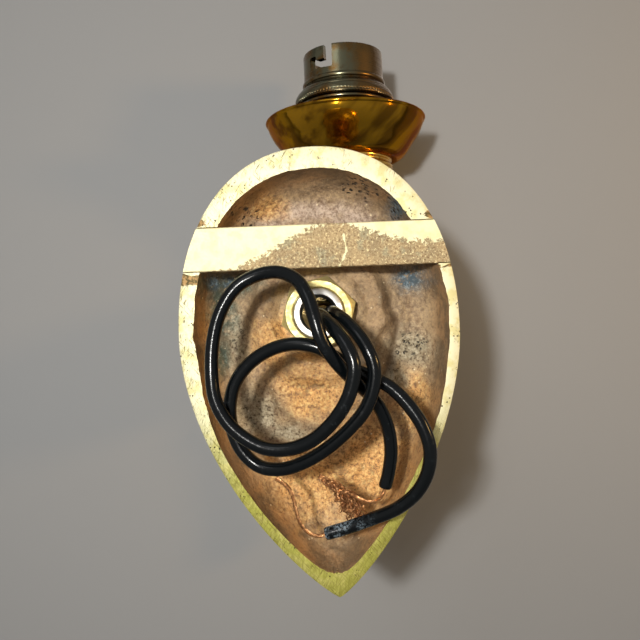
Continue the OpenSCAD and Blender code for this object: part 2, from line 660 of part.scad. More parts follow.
module terminals() color("gold") for (side = [-1, 1]) on_contact(side) difference() {
    union() {
        hole(well_r - 0.1, insulator_base, spring_seat_z);
        translate([side > 0 ? -block_in : block_in - block_x, -block_y / 2, insulator_base - block_z])
            cube([block_x, block_y, block_z]);
    }
    translate([-side * 1.5, 0, 0]) hole(core_d / 2 + 0.2, insulator_base - block_z - 1, insulator_base - 0.4);
    translate([-side * 1.5, 0, screw_z]) rotate([-90, 0, 0]) hole(screw_r + thread_gap, 0.9, block_y);
}

module terminal_screws() color("silver") for (side = [-1, 1])
    on_contact(side) translate([-side * 1.5, block_y / 2, screw_z]) rotate([-90, 0, 0]) difference() {
        union() {
            hole(screw_head_r, 0, screw_head_t);
            hole(screw_r, 1 - block_y / 2, 0.1);
        }
        translate([-3, -0.25, screw_head_t - 0.6]) cube([6, 0.5, 1]);
    }

module lead_a() color("black") cord(lead_a_route, lead_d);
module lead_b() color("black") cord(lead_b_route, lead_d);
module conductor_a() color("chocolate") cord(conductor_a_route, core_d);
module conductor_b() color("chocolate") cord(conductor_b_route, core_d);
module copper_fray() color("chocolate") sweep(fray_route, fray_radius, 8);

// A lead's hidden run: along the arm tube, through the palm and up the torch rod
function inner_route(mouth, side) =
    let (x = lamp_x + side * rod_pair, b = lead_bend)
    concat(
        [[mouth[0], tube_back_y, mouth[1]], [mouth[0], tube_back_y - 6, mouth[1]],
         [mouth[0], tube_front_y + 6, mouth[1]], [mouth[0], tube_front_y, arm_z],
         [x + 0.22 * (mouth[0] - x), lamp_y + b + 5, arm_z]],
        [for (a = [0:22.5:90]) [x, lamp_y + b - b * sin(a), arm_z + b - b * cos(a)]],
        [[x, lamp_y, arm_z + b + 8], [x, lamp_y, cup_base], [x, lamp_y, strip_z]]
    );
// A bared core: from the covering's end into its terminal block
function contact_x(side) = side * (contact_gap / 2 - 1.5);
function core_route(side) =
    let (x0 = lamp_x + side * rod_pair, x1 = lamp_x + contact_x(side) * cos(slot_aim), y1 = lamp_y - contact_x(side) * sin(slot_aim))
    [[x0, lamp_y, strip_z], [x0, lamp_y, strip_z + 0.7], [x1, y1, insulator_base - block_z - 0.4],
     [x1, y1, insulator_base - block_z + 1]];
module inner_leads() color("black") {
    cord(inner_route(mouth_a, 1), lead_d);
    cord(inner_route(mouth_b, -1), lead_d);
}
module inner_conductors() color("chocolate") for (side = [-1, 1]) cord(core_route(side), core_d);

wall_plate();
hanging_bar();
arm_tube();
back_nut();
arm_collar();
cuff();
hand();
torch_rod();
upper_stem();
torch_cup();
fist_collar();
lower_stem();
pommel();
drip_dish();
dish_nut();
lampholder_cap();
knurled_ring();
lampholder_barrel();
insulator();
contact_plunger_left();
contact_plunger_right();
contact_spring_left();
contact_spring_right();
terminals();
terminal_screws();
lead_a();
lead_b();
conductor_a();
conductor_b();
copper_fray();
inner_leads();
inner_conductors();
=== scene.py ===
# %% [markdown]
# # A cast brass wall light, seen from behind
#
# The sconce is a hand that comes out of an egg-shaped plate and grips a torch. On the torch sit a
# drip dish and a bayonet lampholder. It lies on its face, so the camera looks straight into the
# hollow back of the plate, where two black leads come out of the arm's tube.
#
# Every piece that shows is modelled here as a fine mesh in the place of its plain solid. Sizes are
# in millimetres up to the last step, where each mesh is made in metres.

# %% Load the imported frame
import math

import bmesh
import bpy
import numpy as np
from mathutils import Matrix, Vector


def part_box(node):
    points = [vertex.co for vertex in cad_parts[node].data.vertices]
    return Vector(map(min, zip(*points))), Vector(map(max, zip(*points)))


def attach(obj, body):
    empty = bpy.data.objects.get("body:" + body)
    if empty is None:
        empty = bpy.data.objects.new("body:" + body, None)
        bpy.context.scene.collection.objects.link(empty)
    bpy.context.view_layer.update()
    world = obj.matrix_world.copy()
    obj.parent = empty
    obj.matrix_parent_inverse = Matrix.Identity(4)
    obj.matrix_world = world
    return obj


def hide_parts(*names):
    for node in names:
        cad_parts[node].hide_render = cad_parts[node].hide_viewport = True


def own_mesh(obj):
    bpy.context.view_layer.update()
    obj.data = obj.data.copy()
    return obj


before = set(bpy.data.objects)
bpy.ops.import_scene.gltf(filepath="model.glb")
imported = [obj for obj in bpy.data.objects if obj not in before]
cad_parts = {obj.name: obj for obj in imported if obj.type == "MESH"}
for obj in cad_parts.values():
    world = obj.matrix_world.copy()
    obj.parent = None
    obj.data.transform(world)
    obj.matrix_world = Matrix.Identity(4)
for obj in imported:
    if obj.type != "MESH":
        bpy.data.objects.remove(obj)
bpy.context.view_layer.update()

import openvdb
from mathutils import Matrix, Vector, noise

MM = 0.001
print("solids in the frame:", len(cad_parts))

# %% [markdown]
# ## The camera
#
# The photograph looks straight at the wall side of the plate from about 173 mm away, and the
# object leans a little over two degrees in it. A camera could be aimed with a constraint, but a
# matrix built from the three directions says exactly where right, up and forward are.

# %% Camera
CAMERA_AT = (-0.3, 172.8, -18.4)
LEAN = math.radians(2.25)
FOCAL = 39.375
SENSOR = 36.0

camera_data = bpy.data.cameras.new("camera")
camera_data.lens = FOCAL
camera_data.sensor_width = SENSOR
camera_data.clip_start = 0.01
camera = bpy.data.objects.new("camera", camera_data)
bpy.context.scene.collection.objects.link(camera)
back = Vector((0, 1, 0))
up = Vector((-math.sin(LEAN), 0, math.cos(LEAN)))
turn = Matrix((up.cross(back), up, back)).transposed().to_4x4()
camera.matrix_world = Matrix.Translation(Vector(CAMERA_AT) * MM) @ turn
bpy.context.scene.camera = camera
bpy.context.scene.view_settings.view_transform = "Standard"
print("camera at", tuple(round(x, 4) for x in camera.location))

# %% [markdown]
# ## Helpers for meshes
#
# Nearly every piece is a stack of rings: a turned piece is rings round an axis, a lead is rings
# along a route, and the plate is rings that shrink from its rim to its middle. Blender could make
# some of them with the Spin or Screw tools, but a plain grid of points keeps full control of every
# ring and gives clean quads.

# %% A grid of points becomes a piece that rides on a body
def skin(rings, loop=False):
    """Quads over equal closed rings; loop joins the last ring to the first."""
    rings = np.asarray(rings, float)
    count, sides = rings.shape[:2]
    index = np.arange(count * sides).reshape(count, sides)
    if loop:
        index = np.vstack([index, index[:1]])
    low, high = index[:-1], index[1:]
    quads = np.stack([low, np.roll(low, -1, 1), np.roll(high, -1, 1), high], -1).reshape(-1, 4)
    faces = quads.tolist()
    if not loop:
        faces += [index[0][::-1].tolist(), index[-1].tolist()]
    return rings.reshape(-1, 3), faces


def piece(name, points, faces, finish, nodes=(), body="sconce", crease=35):
    """A mesh piece from points in millimetres, shaded smooth up to the crease angle."""
    mesh = bpy.data.meshes.new(name)
    mesh.from_pydata((np.asarray(points) * MM).tolist(), [], faces)
    mesh.validate()
    label = name + "_detailed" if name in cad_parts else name
    obj = bpy.data.objects.new(label, mesh)
    bpy.context.scene.collection.objects.link(obj)
    finish_piece(obj, finish, nodes, body, crease)
    return obj


def finish_piece(obj, finish, nodes=(), body="sconce", crease=35):
    """Outward normals, shading, finish, body and the solids that the piece stands for."""
    mesh = obj.data
    grid = bmesh_of(mesh)
    bmesh.ops.recalc_face_normals(grid, faces=grid.faces)
    grid.to_mesh(mesh)
    grid.free()
    mesh.shade_smooth()
    mesh.set_sharp_from_angle(angle=math.radians(crease))
    if finish is not None:
        mesh.materials.clear()
        mesh.materials.append(finish)
    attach(obj, body)
    if nodes:
        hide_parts(*nodes)
    print(f"{obj.name}: {len(mesh.vertices)} points, {len(mesh.polygons)} faces")


def bmesh_of(mesh):
    grid = bmesh.new()
    grid.from_mesh(mesh)
    return grid


def paint(obj, name, values):
    """Stores a number for each point of a mesh, which a finish reads as a mask."""
    layer = obj.data.attributes.new(name, "FLOAT", "POINT")
    layer.data.foreach_set("value", np.asarray(values).astype(np.float32))


# %% Cutting one mesh with others
def cut(obj, cutters):
    """Applies an exact boolean with each cutter, then deletes the cutters."""
    for cutter in cutters:
        step = obj.modifiers.new("cut", "BOOLEAN")
        step.operation, step.solver, step.object = "DIFFERENCE", "EXACT", cutter
        step.material_mode = "TRANSFER"
    seen = bpy.context.evaluated_depsgraph_get()
    made = bpy.data.meshes.new_from_object(obj.evaluated_get(seen), depsgraph=seen)
    obj.modifiers.clear()
    obj.data = made
    for cutter in cutters:
        bpy.data.objects.remove(cutter)


def tool(points, faces):
    """A closed mesh that only cuts."""
    mesh = bpy.data.meshes.new("tool")
    mesh.from_pydata((np.asarray(points, float) * MM).tolist(), [], faces)
    grid = bmesh_of(mesh)
    bmesh.ops.recalc_face_normals(grid, faces=grid.faces)
    grid.to_mesh(mesh)
    grid.free()
    obj = bpy.data.objects.new("tool", mesh)
    bpy.context.scene.collection.objects.link(obj)
    return obj


BOX_FACES = [(0, 1, 3, 2), (4, 6, 7, 5), (0, 4, 5, 1), (2, 3, 7, 6), (0, 2, 6, 4), (1, 5, 7, 3)]


def box_points(low, high):
    return [(x, y, z) for x in (low[0], high[0]) for y in (low[1], high[1]) for z in (low[2], high[2])]


# %% Routes and tubes
def unit(rows):
    """The same vectors at length one."""
    return rows / np.linalg.norm(rows, axis=1)[:, None]


def run_along(path):
    """How far along a path each of its points lies."""
    return np.concatenate([[0], np.cumsum(np.linalg.norm(np.diff(path, axis=0), axis=1))])


def length_of(path):
    return float(np.linalg.norm(np.diff(path, axis=0), axis=1).sum())


def smooth_path(points, step):
    """A curve through every point, sampled about every step."""
    p = np.asarray(points, float)
    p = np.vstack([2 * p[0] - p[1], p, 2 * p[-1] - p[-2]])
    made = []
    for a, b, c, d in zip(p[:-3], p[1:-2], p[2:-1], p[3:]):
        t = np.linspace(0, 1, max(2, math.ceil(np.linalg.norm(c - b) / step)), endpoint=False)[:, None]
        square, cube = 2 * a - 5 * b + 4 * c - d, 3 * b - 3 * c + d - a
        made.append(0.5 * (2 * b + (c - a) * t + square * t**2 + cube * t**3))
    return np.vstack(made + [p[-2:-1]])


def sides_along(path):
    """Unit side vectors that turn with the path and don't twist."""
    way = unit(np.gradient(path, axis=0))
    start = np.cross(way[0], (0.3, 0.2, 1.0))
    first = [start / np.linalg.norm(start)]
    for t in way[1:]:
        n = first[-1] - (first[-1] @ t) * t
        first.append(n / np.linalg.norm(n))
    first = np.array(first)
    return first, np.cross(way, first)


def tube_rings(path, radius, sides):
    """Rings round a path; radius is one number or one for each point."""
    n, m = sides_along(path)
    radius = np.broadcast_to(np.asarray(radius, float), (len(path),))[:, None, None]
    a = np.linspace(0, 2 * math.pi, sides, endpoint=False)
    ring = np.cos(a)[None, :, None] * n[:, None] + np.sin(a)[None, :, None] * m[:, None]
    return path[:, None] + radius * ring


# %% [markdown]
# ## Helpers for finishes
#
# A finish is a Principled shader with a few procedural nodes in front of it. Painted pictures would
# need files and a UV map, while noise needs neither and is tuned by numbers. Each metal gets its
# colour from noise at the scale of the real marks, and its hollows get dark through an attribute
# that is worked out from the mesh: dirt where a cloth doesn't reach, and painted shade with it.

# %% Small wrappers round the shader nodes
class Finish:
    """Builds one material; values that stay the same go straight on the shader's sockets."""

    def __init__(self, name, **constants):
        self.material = bpy.data.materials.new(name)
        self.material.use_nodes = True
        self.tree = self.material.node_tree
        self.shader = self.tree.nodes["Principled BSDF"]
        self.where = self.tree.nodes.new("ShaderNodeTexCoord").outputs["Object"]
        for key, value in constants.items():
            self.shader.inputs[key.replace("_", " ")].default_value = value

    def add(self, kind, settings=None, **inputs):
        made = self.tree.nodes.new("ShaderNode" + kind)
        for key, value in (settings or {}).items():
            setattr(made, key, value)
        for key, value in inputs.items():
            self.put(made.inputs[key.replace("_", " ")], value)
        return made

    def put(self, socket, value):
        if isinstance(value, bpy.types.NodeSocket):
            self.tree.links.new(value, socket)
        else:
            socket.default_value = value

    def noise(self, size, detail=4.0, rough=0.55, stretch=(1, 1, 1), warp=0.0):
        """Noise whose features are about this many millimetres wide."""
        place = self.where
        if stretch != (1, 1, 1):
            place = self.add("Mapping", Vector=place, Scale=stretch).outputs[0]
        made = self.add("TexNoise", Vector=place, Scale=1000.0 / size, Detail=detail, Roughness=rough,
                        Distortion=warp)
        return made.outputs["Fac"]

    def strokes(self, angle, stretch, scale, detail, rough, shift=0):
        """Noise drawn out into strokes that lean by an angle, seen from behind."""
        tilt = self.add("Mapping", Vector=self.where, Rotation=(0, math.radians(angle), 0)).outputs[0]
        drawn = self.add("Mapping", Vector=tilt, Scale=stretch, Location=(shift, 0, 0)).outputs[0]
        made = self.add("TexNoise", Vector=drawn, Scale=scale, Detail=detail, Roughness=rough)
        return made.outputs["Fac"]

    def cells(self, size):
        """Distance to the nearest of scattered points, for pits."""
        made = self.add("TexVoronoi", Vector=self.where, Scale=1000.0 / size, Randomness=1.0)
        return made.outputs["Distance"]

    def along(self, axis):
        """How far along X, Y or Z a point lies, in metres."""
        return self.add("SeparateXYZ", Vector=self.where).outputs[axis]

    def step(self, value, low, high):
        """Smooth 0 to 1 while the value goes from low to high; low may be the larger."""
        made = self.add("MapRange", {"interpolation_type": "SMOOTHSTEP"}, Value=value)
        made.inputs["From Min"].default_value, made.inputs["From Max"].default_value = low, high
        return made.outputs[0]

    def scale(self, value, low, high):
        made = self.add("MapRange", None, Value=value)
        made.inputs["To Min"].default_value, made.inputs["To Max"].default_value = low, high
        return made.outputs[0]

    def math(self, how, a, b):
        made = self.add("Math", {"operation": how})
        self.put(made.inputs[0], a)
        self.put(made.inputs[1], b)
        return made.outputs[0]

    def mix(self, share, a, b):
        made = self.add("Mix", {"data_type": "RGBA"})
        self.put(made.inputs[0], share)
        self.put(made.inputs[6], a if isinstance(a, bpy.types.NodeSocket) else (*a, 1))
        self.put(made.inputs[7], b if isinstance(b, bpy.types.NodeSocket) else (*b, 1))
        return made.outputs[2]

    def mask(self, name):
        """A mask that was painted on the mesh as numbers from 0 to 1."""
        return self.add("Attribute", {"attribute_name": name}).outputs["Fac"]

    def dirt_and_shade(self, size, most, start, full):
        """Dirt and painted shade, with a ragged edge, where the mesh is hollow."""
        ragged = self.scale(self.noise(size, 4, 0.7), 0.6, most)
        return self.step(self.math("MULTIPLY", self.mask("hollow"), ragged), start, full)

    def bump(self, height, depth, base=None):
        """Bumps this many millimetres high, over earlier ones if base is given."""
        made = self.add("Bump", None, Height=height, Distance=depth * MM, Strength=1.0)
        if base is not None:
            self.tree.links.new(base, made.inputs["Normal"])
        return made.outputs[0]

    def done(self, colour, rough=None, metal=None, normal=None):
        self.put(self.shader.inputs["Base Color"], colour)
        for socket, value in (("Roughness", rough), ("Metallic", metal), ("Normal", normal)):
            if value is not None:
                self.put(self.shader.inputs[socket], value)
        return self.material


# %% [markdown]
# ## The backdrop and the lights
#
# The sconce lies on its face on a plain surface. A floor under the camera's view catches its
# shadow. It shows from the camera's side only, and only to camera, mirror and glass rays, so it
# never hides the front or tints the metal. A small lamp near the lens gives the crisp shadows of
# the leads, and a wider and weaker one round it softens the edges of its highlights. A warm lamp at
# the side gives the orange streaks, a broad one above fills the shadows, and one in front lights
# the side that the camera doesn't see. One big soft lamp would be simpler, but polished brass would
# turn flat and milky in it.
#
# Mirrors need something to mirror, so the world is a pale room that gets darker straight below. All
# other rays get an even and weaker light from it, which keeps the shadows deep.

# %% Backdrop
FLOOR_Y = -99.5
FLOOR_HALF = 900
PALE, PALE_SPOTS = (0.345, 0.346, 0.347), 0.985
ROOM_TINT = (1.0, 0.985, 0.96, 1)
ROOM_ABOVE, ROOM_BELOW, ROOM_FILL = 0.38, 0.18, 0.14
ROOM_DARK_FROM, ROOM_DARK_TO = -0.25, -0.95


def seen_rays(tree):
    """1 for camera, glossy and transmission rays, 0 for the rest."""
    path = tree.nodes.new("ShaderNodeLightPath")
    total = path.outputs["Is Camera Ray"]
    for name in ("Is Glossy Ray", "Is Transmission Ray"):
        either = tree.nodes.new("ShaderNodeMath")
        either.operation = "MAXIMUM"
        tree.links.new(total, either.inputs[0])
        tree.links.new(path.outputs[name], either.inputs[1])
        total = either.outputs[0]
    return total


def floor_finish():
    f = Finish("backdrop_paper", Roughness=0.9, Specular_IOR_Level=0.1)
    f.done(f.mix(f.noise(9, 3), PALE, tuple(c * PALE_SPOTS for c in PALE)))
    front = f.add("Math", {"operation": "SUBTRACT"})
    front.inputs[0].default_value = 1.0
    f.tree.links.new(f.add("NewGeometry").outputs["Backfacing"], front.inputs[1])
    share = f.math("MULTIPLY", seen_rays(f.tree), front.outputs[0])
    clear = f.add("BsdfTransparent")
    blend = f.add("MixShader")
    f.put(blend.inputs[0], share)
    f.tree.links.new(clear.outputs[0], blend.inputs[1])
    f.tree.links.new(f.shader.outputs[0], blend.inputs[2])
    f.tree.links.new(blend.outputs[0], f.tree.nodes["Material Output"].inputs["Surface"])
    return f.material


floor_mesh = bpy.data.meshes.new("backdrop")
corner_sides = ((-1, -1), (-1, 1), (1, 1), (1, -1))
corners = [(x * FLOOR_HALF * MM, FLOOR_Y * MM, z * FLOOR_HALF * MM) for x, z in corner_sides]
floor_mesh.from_pydata(corners, [], [(0, 1, 2, 3)])
floor_mesh.materials.append(floor_finish())
backdrop = bpy.data.objects.new("backdrop", floor_mesh)
bpy.context.scene.collection.objects.link(backdrop)
print("backdrop faces", tuple(round(c) for c in floor_mesh.polygons[0].normal))

# %% World
def room_light():
    """A pale room that is darker below for the seen rays, and an even, weaker fill for the rest."""
    world = bpy.data.worlds.new("pale_room")
    bpy.context.scene.world = world
    world.use_nodes = True
    tree = world.node_tree
    sky = tree.nodes["Background"]
    sky.inputs["Color"].default_value = ROOM_TINT
    level = tree.nodes.new("ShaderNodeMapRange")
    level.interpolation_type = "SMOOTHSTEP"
    level.inputs["From Min"].default_value = ROOM_DARK_TO
    level.inputs["From Max"].default_value = ROOM_DARK_FROM
    level.inputs["To Min"].default_value = ROOM_BELOW
    level.inputs["To Max"].default_value = ROOM_ABOVE
    height = tree.nodes.new("ShaderNodeSeparateXYZ")
    tree.links.new(tree.nodes.new("ShaderNodeTexCoord").outputs["Generated"], height.inputs[0])
    tree.links.new(height.outputs["Z"], level.inputs["Value"])
    strength = tree.nodes.new("ShaderNodeMapRange")
    strength.inputs["To Min"].default_value = ROOM_FILL
    tree.links.new(seen_rays(tree), strength.inputs["Value"])
    tree.links.new(level.outputs[0], strength.inputs["To Max"])
    tree.links.new(strength.outputs[0], sky.inputs["Strength"])


room_light()
print("room light above, below and fill:", ROOM_ABOVE, ROOM_BELOW, ROOM_FILL)

# %% Lamps
# Name, place in mm, power in watts, width in mm and colour
LAMPS = [
    ("key", (78, 330, 30), 1.06, 26, (1.0, 0.98, 0.94)),
    ("key_rim", (78, 331, 30), 0.26, 70, (1.0, 0.97, 0.9)),
    ("fill", (240, 420, 330), 0.32, 260, (0.95, 0.97, 1.0)),
    ("warm_side", (-315, 105, 60), 0.34, 46, (1.0, 0.6, 0.2)),
    ("front_soft", (-220, -430, 260), 2.5, 320, (1.0, 0.98, 0.95)),
]
MIDDLE = (0, -15, -20)


def lamp(name, at, power, size, colour):
    """A round area lamp at a place in millimetres, turned towards the middle of the sconce."""
    data = bpy.data.lights.new(name, "AREA")
    data.shape = "DISK"
    data.energy, data.size, data.color = power, size * MM, colour
    obj = bpy.data.objects.new(name, data)
    bpy.context.scene.collection.objects.link(obj)
    obj.location = Vector(at) * MM
    obj.rotation_mode = "QUATERNION"
    obj.rotation_quaternion = (Vector(MIDDLE) - Vector(at)).to_track_quat("-Z", "Y")


for facts in LAMPS:
    lamp(*facts)
print("lamps:", len(LAMPS))

# %% [markdown]
# ## Black leads
#
# Two single leads come out of the arm's tube, loop round each other in front of the hollow and end
# cut off, with bared copper. A bevelled curve would do, but a mesh swept along the route can carry
# a mask for the worn, whitened patch near one end, and its covering can swell and shrink a little
# as old soft covering does. The routes repeat the points of the solids.

# %% Finish of the covering
def black_covering():
    f = Finish("black_covering", Specular_IOR_Level=0.24)
    dust = f.step(f.noise(2.4, 5, 0.65), 0.56, 0.76)
    places, grains = f.step(f.noise(2.2, 3, 0.6), 0.4, 0.62), f.step(f.noise(0.45, 4, 0.75), 0.44, 0.58)
    worn = f.math("MULTIPLY", f.mask("worn"), f.math("MULTIPLY", places, grains))
    colour = f.mix(dust, (0.0022, 0.0031, 0.0037), (0.009, 0.0115, 0.013))
    colour = f.mix(f.math("MULTIPLY", worn, 0.8), colour, (0.27, 0.34, 0.39))
    rough = f.math("ADD", f.scale(dust, 0.2, 0.34), f.math("MULTIPLY", worn, 0.3))
    return f.done(colour, rough, normal=f.bump(f.noise(0.9, 3), 0.03))


COVERING = black_covering()
print("finish:", COVERING.name)

# %% Routes of the two leads
LEAD_R, LEAD_SIDES, LEAD_STEP = 1.6, 20, 0.5
LEAD_SWELL, SWELL_RATE = 0.02, 0.11
END_ROLL, END_DRAW = 0.5, 0.12
TUBE_MOUTH_Y = -6.0
LEAD_A = [
    (0.5, TUBE_MOUTH_Y, -16.9), (0.5, -3, -16.9), (0.3, 2, -16.9), (-0.1, 7, -17),
    (-1.2, 12, -18), (-3.2, 16, -20.4), (-5.7, 18.8, -24), (-7.3, 20, -28.4),
    (-6.7, 20, -33), (-4.8, 19.6, -37.4), (-1.6, 18.6, -41.6), (2.6, 17.3, -45.1),
    (7.6, 16, -47), (13, 14.8, -46.9), (18, 13.6, -44.5), (22, 12.4, -40.8),
    (24.7, 11, -35.6), (25.4, 9.8, -29.2), (24.9, 9.2, -22.4), (23, 9, -15.8),
    (19.2, 9, -10.2), (14, 9.4, -7.4), (8.8, 11, -7), (4.6, 13.6, -9.2),
    (2.2, 16.2, -13.4), (0.8, 17.7, -18.4), (-0.6, 18, -23.2), (-2.9, 17.4, -27),
    (-5.6, 15.7, -30.4), (-8.7, 13, -33.6), (-11.5, 10.6, -36.6), (-13.8, 9.2, -40.2),
    (-15.4, 8, -44.8), (-15.9, 7, -50), (-15.3, 6, -55), (-14.2, 5.5, -59),
]
LEAD_B = [
    (-3, TUBE_MOUTH_Y, -16.4), (-3, -3, -16.4), (-3.2, 1.5, -16.5), (-4, 6, -17),
    (-5.8, 10.4, -18.6), (-8.4, 13.6, -21.6), (-10.7, 15.4, -25.4), (-12, 16, -29.6),
    (-11.6, 16, -34), (-9.8, 15.6, -38.6), (-6.2, 14.8, -43), (-1.4, 13.6, -47.2),
    (4, 12.2, -50.6), (9.6, 10.4, -52.6), (15, 8.8, -52.2), (19, 8, -48.8),
    (21.2, 7.6, -44), (21.8, 7.6, -38.6), (20.4, 7.8, -32.8), (16.9, 8.4, -28.2),
    (11.8, 9.6, -25), (6.2, 11.2, -23.7), (0.8, 12.4, -24.6), (-3.6, 12.6, -27.2),
    (-7.6, 11.6, -30), (-12, 11.4, -32.2), (-16, 12, -34.6), (-19.7, 13, -38.6),
    (-22.6, 14, -43.4), (-24, 14.4, -48.6), (-23.4, 13.6, -54), (-20.9, 11.8, -59),
    (-16.6, 9.4, -63), (-11, 7.2, -65.8), (-5.4, 5.8, -68), (0.3, 5, -69.7),
]


print("points of the routes:", len(LEAD_A), len(LEAD_B))


# %% The two leads
def lead(name, route, seed, worn_length):
    """A lead with a cut end that is slightly rolled in, and a worn stretch before it."""
    path = smooth_path(route, LEAD_STEP)
    run = run_along(path)
    swell = np.array([noise.noise(Vector((s * SWELL_RATE, seed, 0))) for s in run])
    radius = LEAD_R * (1 + LEAD_SWELL * swell)
    end = run[-1] - run
    radius *= 1 - END_DRAW * np.clip(1 - end / END_ROLL, 0, 1) ** 2
    points, faces = skin(tube_rings(path, radius, LEAD_SIDES))
    obj = piece(name, points, faces, COVERING, [name], crease=50)
    worn = np.clip(1.25 * (1 - end / worn_length), 0, 1) if worn_length else 0 * end
    paint(obj, "worn", np.repeat(worn, LEAD_SIDES))
    return obj, path


lead_a, path_a = lead("lead_a", LEAD_A, 1.7, 0)
lead_b, path_b = lead("lead_b", LEAD_B, 8.3, 14)
print("lead lengths in mm:", round(length_of(path_a), 1), round(length_of(path_b), 1))

# %% [markdown]
# ## Bared copper
#
# One end is twisted and hooked, the other has been twisted on to a loose bundle that has frayed
# out. Strands could be a texture on a tube, but the fray shows single wires against the light, so
# every strand is its own thin tube: it winds round the route, and in the fray it also leaves it.

# %% Finish and routes of the copper
def bare_copper():
    f = Finish("bare_copper", Metallic=0.85)
    dull = f.step(f.noise(1.3, 5, 0.65), 0.42, 0.6)
    colour = f.mix(dull, (0.64, 0.33, 0.14), (0.23, 0.1, 0.04))
    return f.done(colour, f.scale(dull, 0.3, 0.6), normal=f.bump(f.noise(0.12, 3), 0.01))


COPPER = bare_copper()
CONDUCTOR_A = [
    (-14.2, 5.5, -59), (-13.9, 5.4, -60.1), (-12.8, 5.4, -61.7), (-11, 5.5, -62.3),
    (-8.9, 5.5, -61.9), (-6.6, 5.3, -60.6), (-4.6, 5.1, -59.9),
]
CONDUCTOR_B = [
    (0.3, 5, -69.7), (2.2, 4.8, -70.2), (4.6, 4.8, -69.2), (6.5, 5, -66.6), (7.3, 5, -63.4),
    (8, 5, -60.2), (9.4, 5, -57.7), (11.8, 5, -55.8),
]
FRAY = [
    (1.2, 5, -55.8), (-0.4, 4.9, -57.2), (-2.4, 4.7, -58.8), (-4.4, 4.3, -60.8),
    (-5.8, 3.9, -62.8), (-7, 3.4, -64.8), (-8, 3, -66.6),
]
chance = np.random.default_rng(41)
print("finish:", COPPER.name)


# %% Strands wound round a route
STRAND_STEP = 0.35
CRINKLES = (3.4, 1.9, 1.1)


def strands(name, route, rows, wire, pitch, spread, loose=0.0, crinkle=0.0):
    """Rows of wires wound round a route; spread gives the bundle's radius from start to end."""
    path = smooth_path(route, STRAND_STEP)
    n, m = sides_along(path)
    share = np.linspace(0, 1, len(path))
    width = np.interp(share, np.linspace(0, 1, len(spread)), spread)
    points, faces = [], []
    for row, count in enumerate(rows):
        for k in range(count):
            reach = (row / max(len(rows) - 1, 1)) * width
            start = 2 * math.pi * k / count + 0.5 * row + chance.uniform(-0.15, 0.15)
            a = start + 2 * math.pi * share * length_of(path) / pitch * (1 - loose * share)
            stray = loose * share[:, None] ** 1.5 * chance.normal(0, 0.55, 3)
            wave = np.sin(share * chance.uniform(2, 6) + chance.uniform(0, 6))[:, None]
            bend = loose * wave * chance.normal(0, 0.3, 3)
            last = len(path) - int(chance.uniform(0, 0.3 * max(loose, 0.12)) * len(path))
            line = path + reach[:, None] * (np.cos(a)[:, None] * n + np.sin(a)[:, None] * m) + stray + bend
            for wavelength in CRINKLES:
                phase = share[:, None] * length_of(path) / wavelength * 2 * math.pi + chance.uniform(0, 6, 3)
                line += crinkle * wavelength / 8 * share[:, None] ** 0.6 * np.sin(phase)
            made, quads = skin(tube_rings(line[:last], wire / 2, 6))
            faces += [[i + len(points) for i in q] for q in quads]
            points += made.tolist()
    return piece(name, points, faces, COPPER, [name], crease=60)


BUNDLE_A, BUNDLE_B = [0.36, 0.36, 0.4], [0.38, 0.36, 0.36, 0.34, 0.46]
FRAY_SPREAD = [0.5, 0.55, 0.9, 1.4, 1.7, 1.8, 1.6]
conductor_a = strands("conductor_a", CONDUCTOR_A, [1, 6, 11], 0.19, 8, BUNDLE_A)
conductor_b = strands("conductor_b", CONDUCTOR_B, [1, 6, 11], 0.19, 7, BUNDLE_B, 0.12)
fray = strands("copper_fray", FRAY, [1, 6, 10, 14, 16], 0.23, 13, FRAY_SPREAD, 0.55, 2.1)

# %% The two leads with their copper ends
print("leads declared with their copper ends:", lead_a.name, lead_b.name)

# %% [markdown]
# ## The plate
#
# The plate is one shell casting: an egg with a pointed foot, hollow behind, ground flat on its rim.
# It could be sculpted, but its edge has to stay on the solid's, so its outline is a formula: half a
# superellipse for the round top and a straighter curve for the foot. The mesh is a stack of such
# outlines: out of the tube's hole over the rough hollow to the rim, round the rim and back over the
# front mouldings to the arm's seat. The hollow is roughened by noise, because a sand casting is
# only smooth where someone has worked on it.

# %% Outline of the plate
HALF_W = 34.8
TOP, FOOT = 46.6, 65.2
WIDEST_Z = -22
ROUND = 2 / 2.2
FOOT_SIDE, FOOT_POINT = 1.7, 2 / 1.79
FOOT_SHARE = 2.2
RIM_FOOT = 4.4
FOOT_DRIFT, DRIFT_CURVE = 2.6, 2.4
FOOT_ROUND = 1.1
AROUND = 420
ANGLES = (np.arange(AROUND) + 0.5) * 360 / AROUND


def outline(side, top, foot, angles=ANGLES):
    """x and z of the plate's outline with its sides, top and foot drawn in."""
    c, s = np.cos(np.radians(angles)), np.sin(np.radians(angles))
    upper = s >= 0
    w, s = HALF_W - side, np.abs(s)
    x = np.sign(c) * w * np.where(upper, np.abs(c) ** ROUND, np.abs(c) ** FOOT_SIDE)
    z = WIDEST_Z + np.where(upper, (TOP - top) * s**ROUND, -(FOOT - foot) * s**FOOT_POINT)
    low = np.clip((WIDEST_Z - z) / FOOT, 0, 1)
    return x - FOOT_DRIFT * low**DRIFT_CURVE, z


edge_x, edge_z = outline(0, 0, 0)
print("plate width and height in mm:", round(np.ptp(edge_x), 1), round(np.ptp(edge_z), 1))


# %% Noise over the plate
def flat_noise(x, z, size, octaves=3, seed=0.0):
    """Fractal noise over the plate, about -1 to 1, with features of this many millimetres."""
    at = zip(np.ravel(x) / size, np.ravel(z) / size)
    made = [noise.fractal(Vector((a, b, seed)), 0.7, 2.0, octaves) for a, b in at]
    return np.reshape(made, np.shape(x))


